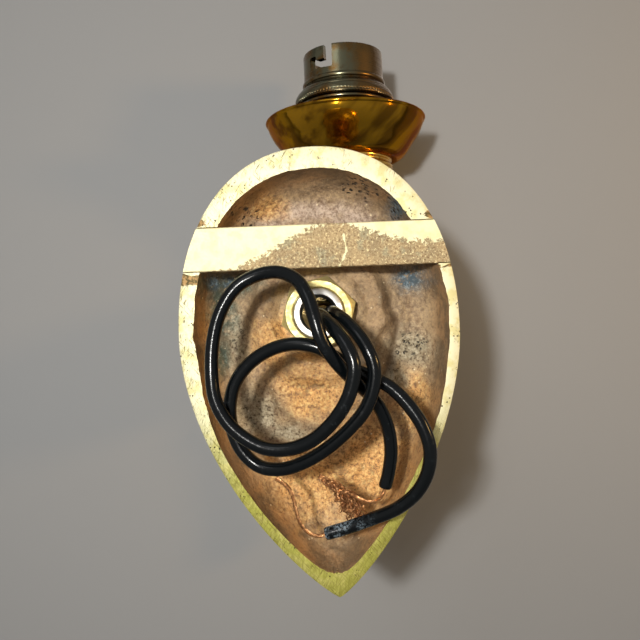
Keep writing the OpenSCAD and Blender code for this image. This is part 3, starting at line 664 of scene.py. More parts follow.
# %% Sections of the plate
# Width of the ground rim at angles round the plate, from +X over the top
RIM_AT = [0, 15, 40, 68, 90, 113, 141, 161, 172, 187, 203, 221, 250, 270, 290, 312, 331, 341, 352, 360]
RIM_MM = [3.7, 4.0, 4.4, 5.3, 5.4, 5.1, 4.8, 3.0, 2.4, 2.7, 2.2, 2.5, 2.6, 3.0, 2.4, 2.1, 2.5, 3.3, 4.3, 3.7]
# Sections of the shell, each as how far in from the edge and y
HOLLOW = [
    (0, 0), (0.3, -3.4), (1.1, -7.6), (2.6, -11), (4.6, -13.6), (7, -14.8), (9, -14.7), (10.6, -14.1),
    (13, -12.9), (15.5, -12.3), (18, -12.5),
]
FRONT = [
    (0.35, 0), (0.06, -0.16), (0, -0.5), (0, -3), (0.15, -5.4), (1.2, -9), (3.4, -13.4), (6.5, -16.6),
    (10, -17.9), (12.3, -17.8),
]
FRONT_SEAT = [
    (12.9, -17.0), (13.2, -16.7), (13.6, -16.9), (14.3, -17.3), (15.1, -16.9), (15.4, -16.4),
    (15.8, -16.15), (16.6, -15.95), (18, -15.75), (20, -15.7), (21, -15.7),
]
ARM_Z = -16.7
HOLE_R = 6.6
FLOOR, SEAT_Y = -12.5, -15.7
NUT_SEAT_R = 10.4
FOOT_FILL, FOOT_WAVE = 1.4, 0.5
RIM_WAVE = 0.22
HOLLOW_STEP, FRONT_STEP, SEAT_STEP = 0.42, 0.7, 0.35
print("sections of the hollow and of the front:", len(HOLLOW), len(FRONT) + len(FRONT_SEAT))

# %% Rings of the plate
rim_width = np.interp(ANGLES, RIM_AT, RIM_MM)
rim_width = rim_width + RIM_WAVE * flat_noise(*outline(3, 5, 5.5), 4.5, 4, 3.0)
hole_x, hole_z = HOLE_R * np.cos(np.radians(ANGLES)), ARM_Z + HOLE_R * np.sin(np.radians(ANGLES))


def hollow_ring(inset, y):
    foot = RIM_FOOT + inset * FOOT_SHARE
    x, z = outline(rim_width + inset, rim_width + inset, foot)
    lowest = WIDEST_Z - (FOOT - foot) + FOOT_FILL + FOOT_WAVE * flat_noise(x, z, 1.6, 3, 23.0)
    z = lowest + FOOT_ROUND * np.logaddexp(0, (z - lowest) / FOOT_ROUND)
    return np.stack([x, np.full_like(x, y), z], -1)


def front_ring(inset, y):
    x, z = outline(inset, inset, inset * FOOT_SHARE)
    return np.stack([x, np.full_like(x, y), z], -1)


def towards_hole(ring, y, count):
    """Rings from the given one in to the hole's edge, that one left out."""
    hole = np.stack([hole_x, np.full_like(hole_x, y), hole_z], -1)
    return [ring + (hole - ring) * t for t in np.linspace(0, 1, count + 1)[1:]]


hollow_curve = smooth_path(HOLLOW, HOLLOW_STEP)
back_rings = [hollow_ring(i, y) for i, y in hollow_curve]
back_rings = (back_rings + towards_hole(back_rings[-1], FLOOR, 22))[::-1]
front_curve = np.vstack([
    FRONT[:3], smooth_path(FRONT[3:], FRONT_STEP), smooth_path(FRONT_SEAT, SEAT_STEP),
])
front_rings = [front_ring(i, y) for i, y in front_curve]
front_rings += towards_hole(front_rings[-1], SEAT_Y, 10)
plate_rings = np.array(back_rings + front_rings)
rim_ring = len(back_rings) - 1
print("plate rings:", len(plate_rings), "rim at ring", rim_ring)

# %% Lumps and ridges in the hollow
# Places in millimetres, as x and z, of what the casting shows
MOUND_FOOT = [(13.5, -36), (11.5, -41), (6.5, -45.5), (-2, -47.5)]
VALLEY = [(-17.4, -9.5), (-19.2, -15.5), (-20.7, -21.5), (-18.4, -29.5), (-16.8, -34)]
# Ridges and, below zero, grooves: a line, its height and its width
RIDGES = [
    (VALLEY, -0.9, 1.5),
    ([(19.5, -47), (9, -49.5), (-2, -46.5)], 0.6, 3.0),
    ([(19, -4), (22.5, -14), (23, -27)], -0.5, 2.4),
    ([(-12, -40), (-16, -50)], 0.5, 3.0),
]
# Rounded bosses: x, z, radius and height
BOSSES = [(0, ARM_Z, 18.6, 2.0), (2.5, -37, 11.0, 1.3)]
# Lumps of the rough floor, coarse to fine: height, width, octaves and seed
LUMPS = [(0.6, 10, 2, 5.0), (0.42, 3.6, 3, 9.0), (0.14, 1.0, 3, 2.0)]
# Lumps grow over these widths from the rim and from the nut's seat
FROM_RIM, FROM_SEAT = 3.0, 2.5
BOSS_WAVE, BOSS_SLOPE, BOSS_CURVE = 1.2, 2.6, 1.3


def line_distance(x, z, line):
    """Distance in the plate's plane to a line of points."""
    best = np.full(np.shape(x), 1e9)
    for (ax, az), (bx, bz) in zip(line, line[1:]):
        dx, dz = bx - ax, bz - az
        t = np.clip(((x - ax) * dx + (z - az) * dz) / (dx * dx + dz * dz), 0, 1)
        best = np.minimum(best, np.hypot(x - ax - t * dx, z - az - t * dz))
    return best


def bell(distance, width):
    return np.exp(-((distance / width) ** 2))


back = plate_rings[:rim_ring + 1]
bx, bz = back[..., 0], back[..., 2]
from_seat = np.hypot(bx, bz - ARM_Z) - NUT_SEAT_R
deep = np.clip(-back[..., 1] / FROM_RIM, 0, 1) * np.clip(from_seat / FROM_SEAT, 0, 1)
lumps = sum(height * flat_noise(bx, bz, *facts) for height, *facts in LUMPS)
for line, height, width in RIDGES:
    lumps = lumps + height * bell(line_distance(bx, bz, line), width)
for cx, cz, radius, height in BOSSES:
    away = np.hypot(bx - cx, bz - cz) + BOSS_WAVE * flat_noise(bx, bz, 7, 2, 31.0)
    lumps = lumps + height * np.clip((radius + BOSS_WAVE - away) / BOSS_SLOPE, 0, 1) ** BOSS_CURVE
back[..., 1] = np.minimum(back[..., 1] + deep * lumps, np.where(deep > 0, -0.4, 0))
print("lumps in mm, lowest and highest:", round(lumps.min(), 1), round(lumps.max(), 1))

# %% Stains of the casting, and a painted sheen
# Each stain, and the painted sheen, is a few ovals: x, z, half width and half height
PATCHES = {
    "soot": [
        (-17.8, 13.7, 4.4, 2.4), (-21.0, 9.6, 3.0, 3.0), (-10.7, 15.7, 3.6, 2.0), (17.6, 8.8, 4.0, 2.6),
        (-24, -25.5, 4.4, 3.4),
    ],
    "verdigris": [
        (25.6, -13.5, 3.4, 8.5), (23.0, -8.2, 7.5, 3.2), (26.4, -27, 2.0, 6), (-27.2, 8.6, 1.6, 2.0),
    ],
    "blue_grey": [
        (-24.6, -8.4, 4.4, 3.4), (-21.3, 9.3, 2.6, 3.0), (23.6, -7.4, 1.8, 2.0), (27.0, -7.6, 1.2, 2.0),
    ],
    "sandy": [
        (17.5, -42.5, 7.5, 7.0), (9, -48, 7.0, 3.6), (-24, -27, 6.0, 5.0), (22, -23, 2.8, 9),
        (-20, -35, 3.4, 4),
    ],
    "orange": [
        (2.5, -37, 12, 9.5), (-11, -58, 15, 14), (12, -24, 6, 7), (13.0, 12.2, 5.0, 3.4),
        (-24.5, -41, 4.6, 8), (29.5, -30, 2.6, 15), (3, -60, 12, 12),
    ],
    "painted_sheen": [(1, 10.5, 13, 2.6), (-10, 8, 6, 2.6), (12, 7.6, 5, 2.2)],
    "braze": [
        (31.6, -7.1, 3.4, 1.8), (27.6, 6.4, 4.2, 1.3), (-28.8, 6.4, 4.6, 1.3), (-31.5, -6.2, 2.2, 0.8),
    ],
}


def painted(x, z, spots):
    """A soft mask with a ragged edge over oval spots, each x, z, half width and half height."""
    ragged = 0.35 * flat_noise(x, z, 3.0, 3, 17.0)
    best = np.zeros(np.shape(x))
    for cx, cz, rx, rz in spots:
        best = np.maximum(best, np.clip(1.45 - np.hypot((x - cx) / rx, (z - cz) / rz) + ragged, 0, 1))
    return best


print("ovals of each stain:", {name: len(spots) for name, spots in PATCHES.items()})

# %% [markdown]
# ## Finishes of the cast brass
#
# The hollow was never worked: it has the grain of the sand mould, brown and copper colours from
# the furnace and a few dark, green and blue-grey spots. Its colour also carries a painted sheen,
# painted glints and painted shade on the steep wall, along the valley and in the hollows. The rim
# was ground flat on a wheel, so it is bright and carries fine cross scratches, and it is brown
# where the bar was brazed in. One noise for all would look like camouflage, so each stain and the
# painted sheen has a mask where the real casting shows it, and noise only frays the mask's edge.
# The front was polished and is darker in its hollows, with dirt and painted shade there.

# %% Finish of the rough hollow
def rough_cast():
    f = Finish("rough_cast", Specular_IOR_Level=0.5)
    broad = f.step(f.noise(9, 5, 0.62), 0.4, 0.6)
    grain = f.noise(0.95, 4, 0.78)
    light, dark = f.step(grain, 0.515, 0.6), f.step(grain, 0.47, 0.38)
    colour = f.mix(broad, (0.48, 0.34, 0.195), (0.335, 0.232, 0.135))
    colour = f.mix(f.math("MULTIPLY", light, 0.45), colour, (0.74, 0.54, 0.3))
    # Painted sheen: a pale pinkish grey reflection painted over the upper part of the hollow
    painted_sheen = f.mix(f.step(grain, 0.42, 0.6), (0.44, 0.32, 0.24), (0.68, 0.55, 0.44))
    colour = f.mix(f.math("MULTIPLY", f.mask("painted_sheen"), 0.8), colour, painted_sheen)
    copper = f.mix(light, f.mix(dark, (0.76, 0.4, 0.13), (0.42, 0.19, 0.06)), (0.98, 0.68, 0.27))
    colour = f.mix(f.math("MULTIPLY", f.mask("orange"), 0.92), colour, copper)
    sand = f.mix(light, f.mix(dark, (0.37, 0.31, 0.2), (0.08, 0.06, 0.035)), (0.56, 0.49, 0.35))
    colour = f.mix(f.math("MULTIPLY", f.mask("sandy"), 0.95), colour, sand)
    stains = f.step(f.noise(3.4, 5, 0.7), 0.53, 0.66)
    colour = f.mix(f.math("MULTIPLY", stains, 0.55), colour, (0.17, 0.095, 0.05))
    # Painted shade: the steep wall under the rim is darker brown, as little light reaches it
    wall_shade = f.mix(broad, (0.38, 0.2, 0.075), (0.15, 0.095, 0.045))
    colour = f.mix(f.math("MULTIPLY", f.mask("wall"), 0.65), colour, wall_shade)
    colour = f.mix(f.math("MULTIPLY", dark, 0.45), colour, (0.09, 0.05, 0.025))
    # Painted shade along the valley beside the nut, round the mound's foot and in the hollows of the mesh
    creases = f.math("MAXIMUM", f.step(f.mask("hollow"), 0.2, 0.8), f.mask("crease"))
    colour = f.mix(f.math("MULTIPLY", creases, 0.7), colour, (0.11, 0.065, 0.03))
    green = f.math("MULTIPLY", f.mask("verdigris"), f.step(f.noise(2.2, 4, 0.65), 0.3, 0.48))
    verdigris = f.mix(light, (0.03, 0.07, 0.055), (0.13, 0.2, 0.17))
    colour = f.mix(f.math("MULTIPLY", green, 0.85), colour, verdigris)
    blue = f.math("MULTIPLY", f.mask("blue_grey"), f.step(f.noise(1.3, 4, 0.75), 0.34, 0.5))
    colour = f.mix(blue, colour, f.mix(light, (0.085, 0.12, 0.14), (0.25, 0.32, 0.36)))
    pits = f.step(f.cells(1.5), 0.46, 0.34)
    pits = f.math("MULTIPLY", pits, f.step(f.noise(1.7, 3), 0.44, 0.56))
    soot = f.math("MULTIPLY", f.step(f.mask("soot"), 0.25, 0.75), pits)
    colour = f.mix(soot, colour, (0.018, 0.014, 0.012))
    # Painted glints: pale specks in the colour, with a little more metal
    painted_glints = f.math("MULTIPLY", f.step(f.cells(2.3), 0.13, 0.07), f.step(f.noise(7, 2), 0.45, 0.6))
    colour = f.mix(painted_glints, colour, (0.86, 0.74, 0.5))
    rough = f.scale(grain, 0.5, 0.85)
    metal = f.math("ADD", f.scale(f.step(grain, 0.4, 0.7), 0.12, 0.4), f.math("MULTIPLY", painted_glints, 0.5))
    pitted = f.math("SUBTRACT", grain, f.math("MULTIPLY", soot, 0.9))
    return f.done(colour, rough, metal, f.bump(pitted, 0.3, f.bump(f.noise(3.0, 4, 0.6), 0.5)))


ROUGH = rough_cast()
print("nodes in the finish of the hollow:", len(ROUGH.node_tree.nodes))


# %% Finish of the ground rim
def ground_brass():
    f = Finish("ground_brass", Metallic=1.0)
    low = f.step(f.math("ADD", f.along("Z"), f.scale(f.noise(7, 3), -0.012, 0.012)), -0.035, -0.062)
    colour = f.mix(low, (0.87, 0.83, 0.61), (0.5, 0.48, 0.12))
    cloudy = f.step(f.noise(4, 5, 0.65), 0.45, 0.62)
    colour = f.mix(f.math("MULTIPLY", cloudy, 0.55), colour, (0.7, 0.63, 0.25))
    first, second, third = (f.strokes(angle, (6, 1, 0.6), 480.0, 4.0, 0.7, angle) for angle in (34, -41, 8))
    strokes = f.math("MAXIMUM", f.math("MAXIMUM", first, second), third)
    side = f.step(f.along("X"), -0.012, 0.014)
    places = f.step(f.math("ADD", f.noise(5.5, 3, 0.6), f.scale(side, -0.1, 0.04)), 0.44, 0.54)
    marks = f.math("MULTIPLY", f.step(strokes, 0.57, 0.65), places)
    hatch = f.math("MULTIPLY", f.step(strokes, 0.5, 0.58), f.math("MULTIPLY", low, 0.5))
    colour = f.mix(hatch, colour, (0.27, 0.25, 0.05))
    colour = f.mix(f.math("MULTIPLY", marks, 0.85), colour, (0.2, 0.165, 0.045))
    pits = f.math("MULTIPLY", f.step(f.cells(0.9), 0.26, 0.14), f.step(f.noise(4.2, 3), 0.5, 0.6))
    colour = f.mix(pits, colour, (0.07, 0.055, 0.03))
    brazed = f.step(f.math("ADD", f.mask("braze"), f.scale(f.noise(1.2, 4, 0.7), -0.35, 0.35)), 0.42, 0.6)
    braze = f.mix(f.step(f.noise(0.9, 3), 0.42, 0.58), (0.5, 0.33, 0.15), (0.17, 0.13, 0.06))
    colour = f.mix(brazed, colour, braze)
    normal = f.bump(strokes, 0.03)
    return f.done(colour, f.scale(strokes, 0.6, 0.86), normal=f.bump(f.scale(pits, 1, 0), 0.12, normal))


GROUND = ground_brass()
print("nodes in the finish of the rim:", len(GROUND.node_tree.nodes))


# %% Polished brass that has darkened in its hollows
def aged_brass():
    f = Finish("aged_cast_brass")
    bright, browner, dark = (0.8, 0.6, 0.27), (0.592, 0.372, 0.1134), (0.16, 0.095, 0.04)
    mottled = f.step(f.noise(7, 5, 0.6), 0.38, 0.72)
    colour = f.mix(f.math("MULTIPLY", mottled, 0.45), bright, browner)
    # Dirt and painted shade in the hollows
    dirt_and_shade = f.dirt_and_shade(1.2, 1.25, 0.12, 0.6)
    colour = f.mix(dirt_and_shade, colour, dark)
    specks = f.step(f.noise(0.55, 3, 0.7), 0.66, 0.76)
    colour = f.mix(f.math("MULTIPLY", specks, 0.55), colour, dark)
    rough = f.math("ADD", f.scale(mottled, 0.24, 0.36), f.math("MULTIPLY", dirt_and_shade, 0.3))
    metal = f.math("SUBTRACT", 1.0, f.math("MULTIPLY", dirt_and_shade, 0.5))
    return f.done(colour, rough, metal, f.bump(f.noise(0.7, 4, 0.7), 0.02))


CAST = aged_brass()
print("finishes of the plate:", ROUGH.name, GROUND.name, CAST.name)


# %% Where dirt and painted shade gather
def paint_hollows(obj, reach, gain):
    """Paints how far each point lies below the mean of its neighbours, as a mask for dirt and painted shade.
    """
    mesh = obj.data
    count = len(mesh.vertices)
    points = np.empty(count * 3)
    mesh.vertices.foreach_get("co", points)
    points = points.reshape(-1, 3)
    normals = np.empty(count * 3)
    mesh.vertices.foreach_get("normal", normals)
    normals = normals.reshape(-1, 3)
    edges = np.empty(len(mesh.edges) * 2, int)
    mesh.edges.foreach_get("vertices", edges)
    a, b = edges.reshape(-1, 2).T
    degree = np.maximum(np.bincount(np.concatenate([a, b]), minlength=count), 1)[:, None]
    soft = points.copy()
    for _ in range(reach):
        total = np.zeros_like(soft)
        np.add.at(total, a, soft[b])
        np.add.at(total, b, soft[a])
        soft = 0.5 * soft + 0.5 * total / degree
    below = ((soft - points) * normals).sum(1) / MM
    paint(obj, "hollow", np.clip(below * gain, 0, 1))


# %% Make the plate
BAR_H, BAR_T, NOTCH_GAP, NOTCH_REACH = 10.8, 3.0, 0.15, 80
# Widths of the painted shade along the valley and round the mound's foot, and how dark the second is
VALLEY_W, MOUND_W, MOUND_SHADE = 1.1, 0.9, 0.8
WALL_FROM, WALL_FADE = -12.2, 4.5
points, faces = skin(plate_rings, loop=True)
plate = piece("wall_plate", points, faces, None, ["wall_plate"], crease=32)
for finish in (ROUGH, GROUND, CAST):
    plate.data.materials.append(finish)
ring_of_face = np.arange(len(plate_rings)).repeat(AROUND)
on_rim = (ring_of_face >= rim_ring) & (ring_of_face < rim_ring + 2)
kind = np.where(ring_of_face < rim_ring, 0, np.where(on_rim, 1, 2))
plate.data.polygons.foreach_set("material_index", kind.astype(np.int32))
px, py, pz = points.T
for name, spots in PATCHES.items():
    paint(plate, name, painted(px, pz, spots))
# Painted shade along the valley and round the foot of the mound
ragged = 0.5 * flat_noise(px, pz, 2.4, 3, 27.0)
crease = bell(line_distance(px, pz, VALLEY) + ragged, VALLEY_W)
mound_line = MOUND_SHADE * bell(line_distance(px, pz, MOUND_FOOT) + ragged, MOUND_W)
crease = np.maximum(crease, mound_line)
# The steep wall next to the rim, which gets a painted shade
paint(plate, "wall", np.clip((py - WALL_FROM) / WALL_FADE, 0, 1))
paint(plate, "crease", np.clip(crease, 0, 1))
paint_hollows(plate, 6, 2.5)
notch_z = BAR_H / 2 + NOTCH_GAP
notch_box = box_points((-NOTCH_REACH, -BAR_T, -notch_z), (NOTCH_REACH, 2, notch_z))
cut(plate, [tool(notch_box, BOX_FACES)])
print("plate faces after the notches:", len(plate.data.polygons))

# %% [markdown]
# ## The hanging bar
#
# A flat brass bar is let into the rim and brazed there, so that the plate can hang over a screw. It
# is a sand casting too, and the wheel that ground the rim reached only a part of it. A bevelled box
# has its shape but few points. One closed grid from end to end has enough of them to carry a mask
# that says where the wheel reached, and its ends can follow the plate's outline.

# %% Finish of the bar
def sandy_brass():
    f = Finish("sandy_brass")
    grain = f.noise(0.62, 3, 0.8)
    broad = f.step(f.noise(6, 4, 0.6), 0.38, 0.66)
    sand = f.mix(broad, (0.5, 0.36, 0.185), (0.37, 0.275, 0.15))
    sand = f.mix(f.math("MULTIPLY", f.step(f.noise(4.5, 3, 0.6), 0.54, 0.64), 0.5), sand, (0.33, 0.33, 0.22))
    sand = f.mix(f.step(grain, 0.46, 0.38), sand, (0.2, 0.125, 0.055))
    glitter = f.step(grain, 0.56, 0.63)
    sand = f.mix(glitter, sand, (0.9, 0.8, 0.5))
    ragged = f.scale(f.step(f.noise(1.3, 4, 0.75), 0.36, 0.64), -0.42, 0.42)
    reached = f.step(f.math("ADD", f.mask("ground"), ragged), 0.44, 0.56)
    cloudy = f.math("MULTIPLY", f.step(f.noise(3, 4, 0.6), 0.42, 0.66), 0.4)
    colour = f.mix(reached, sand, f.mix(cloudy, (0.84, 0.79, 0.55), (0.72, 0.64, 0.34)))
    metal = f.math("MAXIMUM", f.scale(glitter, 0.2, 0.8), reached)
    rough = f.scale(grain, 0.62, 0.88)
    return f.done(colour, rough, metal, f.bump(f.math("MULTIPLY", grain, f.scale(reached, 1.0, 0.05)), 0.2))


# %% Section of the bar and reach of the wheel
BAR_STATIONS, BAR_SIDES = 240, 64
BAR_EDGE, CORNER_POINTS = 0.3, 4
# The lower edge of what the wheel reached, and one scratch in the sandy part, as x and z
GROUND_EDGE = [
    (-36, -0.2), (-24, 0.1), (-20, 1.0), (-15, 2.4), (-11.5, 3.8), (-5, 6.2), (0.4, 4.6), (5, 2.6),
    (8.7, 0.2), (13.2, -2.3), (20.5, -5.4), (36, -7),
]
GROUND_FADE = 2.4
NIBBLED_H, NIBBLE, ROUGH_T = 0.9, 0.12, 0.02
SCRATCH, SCRATCH_W = [(-6.8, 2.6), (-7.6, -1.6), (-5.6, -5.4)], 0.26


def bar_section():
    """y and z round the bar's rounded section, evenly spread."""
    near, far, half = -BAR_EDGE, -BAR_T + BAR_EDGE, BAR_H / 2 - BAR_EDGE
    corners = []
    for cy, cz, start in ((near, half, 0), (far, half, 90), (far, -half, 180), (near, -half, 270)):
        for a in np.radians(np.linspace(start, start + 90, CORNER_POINTS)):
            corners.append((cy + BAR_EDGE * math.cos(a), cz + BAR_EDGE * math.sin(a)))
    corners = np.array(corners + corners[:1])
    run = run_along(corners)
    at = np.linspace(0, run[-1], BAR_SIDES, endpoint=False)
    at = np.sort(np.concatenate([at, run[:-1]]))
    return np.stack([np.interp(at, run, corners[:, k]) for k in (0, 1)], -1)


section = bar_section()
print("points round the bar:", len(section))

# %% Make the bar
side = edge_x > 0
order = np.argsort(edge_z[side])
half_at = np.interp(section[:, 1], edge_z[side][order], edge_x[side][order])
bar_rings = []
for s in np.linspace(-1, 1, BAR_STATIONS):
    bar_rings.append(np.stack([s * half_at, section[:, 0], section[:, 1]], -1))
bar_rings = np.array(bar_rings)
low_edge = bar_rings[..., 2] < -BAR_H / 2 + NIBBLED_H
nibbled = NIBBLE * flat_noise(bar_rings[..., 0], bar_rings[..., 1], 2.5, 3, 4.0)
bar_rings[..., 2] += np.where(low_edge, nibbled, 0)
rough_y = ROUGH_T * flat_noise(bar_rings[..., 0], bar_rings[..., 2], 2.6, 2, 6.0) - ROUGH_T
bar_rings[..., 1] += np.where(bar_rings[..., 1] > -0.1, rough_y, 0)
points, faces = skin(bar_rings)
bar = piece("hanging_bar", points, faces, sandy_brass(), ["hanging_bar"], crease=40)
ground_from = np.interp(points[:, 0], *np.array(GROUND_EDGE).T)
ground = np.clip(0.5 + (points[:, 2] - ground_from) / GROUND_FADE, 0, 1)
scratch = bell(line_distance(points[:, 0], points[:, 2], SCRATCH), SCRATCH_W)
paint(bar, "ground", np.maximum(ground, scratch))

# %% [markdown]
# ## Turned pieces
#
# The collar, the torch's shafts, the cup, the dish and most of the lampholder were turned on a
# lathe. A lathe piece is one outline spun round an axis. Spin would do it, but a function that
# makes the rings also lets a ring's radius change round the axis, for knurls and reeds, and arcs in
# the outline give real beads and coves in place of plain steps.

# %% Outlines made of arcs
NEARLY_STRAIGHT = 150


def arc(start, end, bulge, count=9):
    """Points from start to end that swell outwards by bulge, or inwards if it is negative."""
    (r0, h0), (r1, h1) = start, end
    t = np.linspace(0, math.pi, count)
    along, out = (1 - np.cos(t)) / 2, bulge * np.sin(t)
    span = math.hypot(r1 - r0, h1 - h0)
    nr, nh = (h1 - h0) / span, -(r1 - r0) / span
    return [(r0 + (r1 - r0) * a + nr * o, h0 + (h1 - h0) * a + nh * o) for a, o in zip(along, out)]


def eased(points, radius, count=3):
    """A closed outline with its corners rounded to about this radius."""
    p = np.asarray(points, float)
    keep = np.linalg.norm(p - np.roll(p, 1, 0), axis=1) > 1e-6
    p = p[keep]
    made = []
    for a, b, c in zip(np.roll(p, 1, 0), p, np.roll(p, -1, 0)):
        u, v = a - b, c - b
        lu, lv = np.linalg.norm(u), np.linalg.norm(v)
        bend = math.degrees(math.acos(np.clip((u @ v) / (lu * lv), -1, 1)))
        if bend > NEARLY_STRAIGHT:
            made.append(b)
            continue
        cut_back = min(radius, 0.45 * lu, 0.45 * lv)
        before, after = b + u / lu * cut_back, b + v / lv * cut_back
        for t in np.linspace(0, 1, count):
            made.append((1 - t) ** 2 * before + 2 * t * (1 - t) * b + t * t * after)
    return np.array(made)


def evenly(points, step=0.5):
    """The same outline with more points on its long stretches."""
    points = np.asarray(points, float)
    made = []
    for a, b in zip(points, points[1:]):
        count = max(1, math.ceil(np.linalg.norm(b - a) / step))
        made += [a + (b - a) * t for t in np.arange(count) / count]
    return np.array(made + [points[-1]])


# %% The lathe
# x and y of the torch's upright axis, and the radius that stands for a pole
LAMP_XY = (-11.7, -70.0)
POLE_R = 0.02


def on_lamp(r, a, h):
    return np.stack([LAMP_XY[0] + r * np.cos(a), LAMP_XY[1] + r * np.sin(a), h + 0 * r], -1)


def on_arm(r, a, h):
    """Heights along the arm run from the wall outwards; h is minus y."""
    return np.stack([r * np.cos(a), -h + 0 * r, ARM_Z + r * np.sin(a)], -1)


def spun(outline_points, place, steps, wave=None, centre=None):
    """Rings of a closed outline, or of an open one from pole to pole, round an axis."""
    a = np.linspace(0, 2 * math.pi, steps, endpoint=False)
    rings = []
    for r, h in outline_points:
        radius = np.full(steps, max(r, POLE_R))
        if wave is not None:
            radius = radius + wave(a, r, h)
        rings.append(place(radius, a, h))
    rings = np.array(rings)
    if centre is not None:
        rings += np.array(centre) - np.array([LAMP_XY[0], LAMP_XY[1], 0])
    return rings


def turned(name, outside, bore, finish, place=on_lamp, ease=0.1, steps=144, wave=None):
    """A turned ring: an outline from one end to the other, closed along its bore."""
    closed = [(bore, outside[0][1])] + list(outside) + [(bore, outside[-1][1])]
    points, faces = skin(spun(evenly(eased(closed, ease)), place, steps, wave), loop=True)
    return piece(name, points, faces, finish, [name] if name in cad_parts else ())


def solid_turned(name, outside, finish, ease):
    """A turned piece without a bore, from its lower pole to its upper one."""
    path = [(POLE_R, outside[0][1])] + list(outside) + [(POLE_R, outside[-1][1])]
    points, faces = skin(spun(evenly(eased(path, ease)[1:-1]), on_lamp, 96))
    return piece(name, points, faces, finish, [name])


# %% [markdown]
# ## Turned, polished and plated metal
#
# A lathe leaves fine rings round the axis, a polisher takes most of them off, and lacquer or time
# colours what is left. The Wave texture could draw the rings, but it is too even, so noise is read
# at each point's radius and height alone. The dish also has a slight diagonal waviness and broad
# patches of painted dark reflection, and the nickel plate is browner in places and along one side.

# %% Fine rings that a lathe leaves
def lathe_lines(f, axis, fine=0.16):
    """Noise that only changes with radius and height round an axis, as a tool leaves it."""
    moved = f.add("VectorMath", {"operation": "SUBTRACT"})
    f.tree.links.new(f.where, moved.inputs[0])
    moved.inputs[1].default_value = [c * MM for c in axis[1]]
    parts = f.add("SeparateXYZ", Vector=moved.outputs[0])
    across = ("X", "Y") if axis[0] == "Z" else ("X", "Z")
    squares = [f.math("MULTIPLY", parts.outputs[k], parts.outputs[k]) for k in across]
    radius = f.math("SQRT", f.math("ADD", *squares), 0.0)
    place = f.add("CombineXYZ", X=radius, Y=parts.outputs[axis[0]])
    made = f.add("TexNoise", Vector=place.outputs[0], Scale=1000 / fine, Detail=2.0, Roughness=0.6)
    return made.outputs["Fac"]


LAMP_AXIS = ("Z", (LAMP_XY[0], LAMP_XY[1], 0))
ARM_AXIS = ("Y", (0, 0, ARM_Z))


# %% Turned brass, and the lacquered brass of the dish
def turned_brass(name, axis):
    f = Finish(name)
    lines = lathe_lines(f, axis)
    tarnish = f.step(f.noise(5, 5, 0.62), 0.42, 0.72)
    colour = f.mix(f.math("MULTIPLY", tarnish, 0.5), (0.8, 0.5, 0.12), (0.46, 0.25, 0.06))
    # Dirt and painted shade in the hollows
    dirt_and_shade = f.dirt_and_shade(1, 1.2, 0.1, 0.55)
    colour = f.mix(dirt_and_shade, colour, (0.14, 0.085, 0.035))
    specks = f.step(f.noise(0.5, 3, 0.7), 0.67, 0.76)
    colour = f.mix(f.math("MULTIPLY", specks, 0.6), colour, (0.22, 0.14, 0.06))
    dulled = f.math("MULTIPLY", f.math("MAXIMUM", dirt_and_shade, tarnish), 0.14)
    rough = f.math("ADD", f.scale(lines, 0.1, 0.2), dulled)
    metal = f.math("SUBTRACT", 1.0, f.math("MULTIPLY", dirt_and_shade, 0.45))
    return f.done(colour, rough, metal, f.bump(lines, 0.006))


def lacquered_brass():
    f = Finish("lacquered_brass", Metallic=1.0, Specular_Tint=(0.8, 0.42, 0.1, 1), Coat_Weight=0.15,
               Coat_Roughness=0.05)
    lines = lathe_lines(f, LAMP_AXIS, 0.22)
    # One diagonal noise gives a slight waviness, and patches of painted dark reflection
    waviness_and_reflection = f.strokes(46, (1, 1, 0.3), 150.0, 3.0, 0.55)
    painted_dark_reflection = f.step(waviness_and_reflection, 0.42, 0.6)
    colour = f.mix(painted_dark_reflection, (0.42, 0.21, 0.009), (0.17, 0.075, 0.002))
    specks = f.step(f.noise(0.7, 4, 0.7), 0.66, 0.78)
    colour = f.mix(f.math("MULTIPLY", specks, 0.7), colour, (0.3, 0.16, 0.04))
    rough = f.math("ADD", f.scale(lines, 0.06, 0.12), f.math("MULTIPLY", painted_dark_reflection, 0.04))
    return f.done(colour, rough, normal=f.bump(lines, 0.0035, f.bump(waviness_and_reflection, 0.16)))


ARM_BRASS = turned_brass("turned_arm_brass", ARM_AXIS)
TORCH_BRASS = turned_brass("turned_torch_brass", LAMP_AXIS)
LACQUER = lacquered_brass()
print("finishes:", ARM_BRASS.name, TORCH_BRASS.name, LACQUER.name)


# %% Nickel plate, and machined metal
def tarnished_nickel():
    f = Finish("tarnished_nickel", Metallic=1.0)
    lines = lathe_lines(f, LAMP_AXIS, 0.2)
    # Browner along the side towards minus X
    brown_side = f.step(f.math("ADD", f.along("X"), f.scale(f.noise(5, 3), -0.004, 0.004)), -0.012, -0.0175)
    warm = f.math("MAXIMUM", f.step(f.noise(6, 5, 0.62), 0.4, 0.68), f.math("MULTIPLY", brown_side, 0.85))
    colour = f.mix(warm, (0.15, 0.145, 0.092), (0.155, 0.078, 0.02))
    colour = f.mix(f.step(f.noise(2.2, 4, 0.7), 0.56, 0.7), colour, (0.1, 0.07, 0.035))
    # Dirt and painted shade in the hollows
    colour = f.mix(f.dirt_and_shade(1, 1.2, 0.1, 0.5), colour, (0.07, 0.055, 0.035))
    rough = f.math("ADD", f.scale(lines, 0.15, 0.27), f.math("MULTIPLY", warm, 0.08))
    return f.done(colour, rough, normal=f.bump(lines, 0.008))


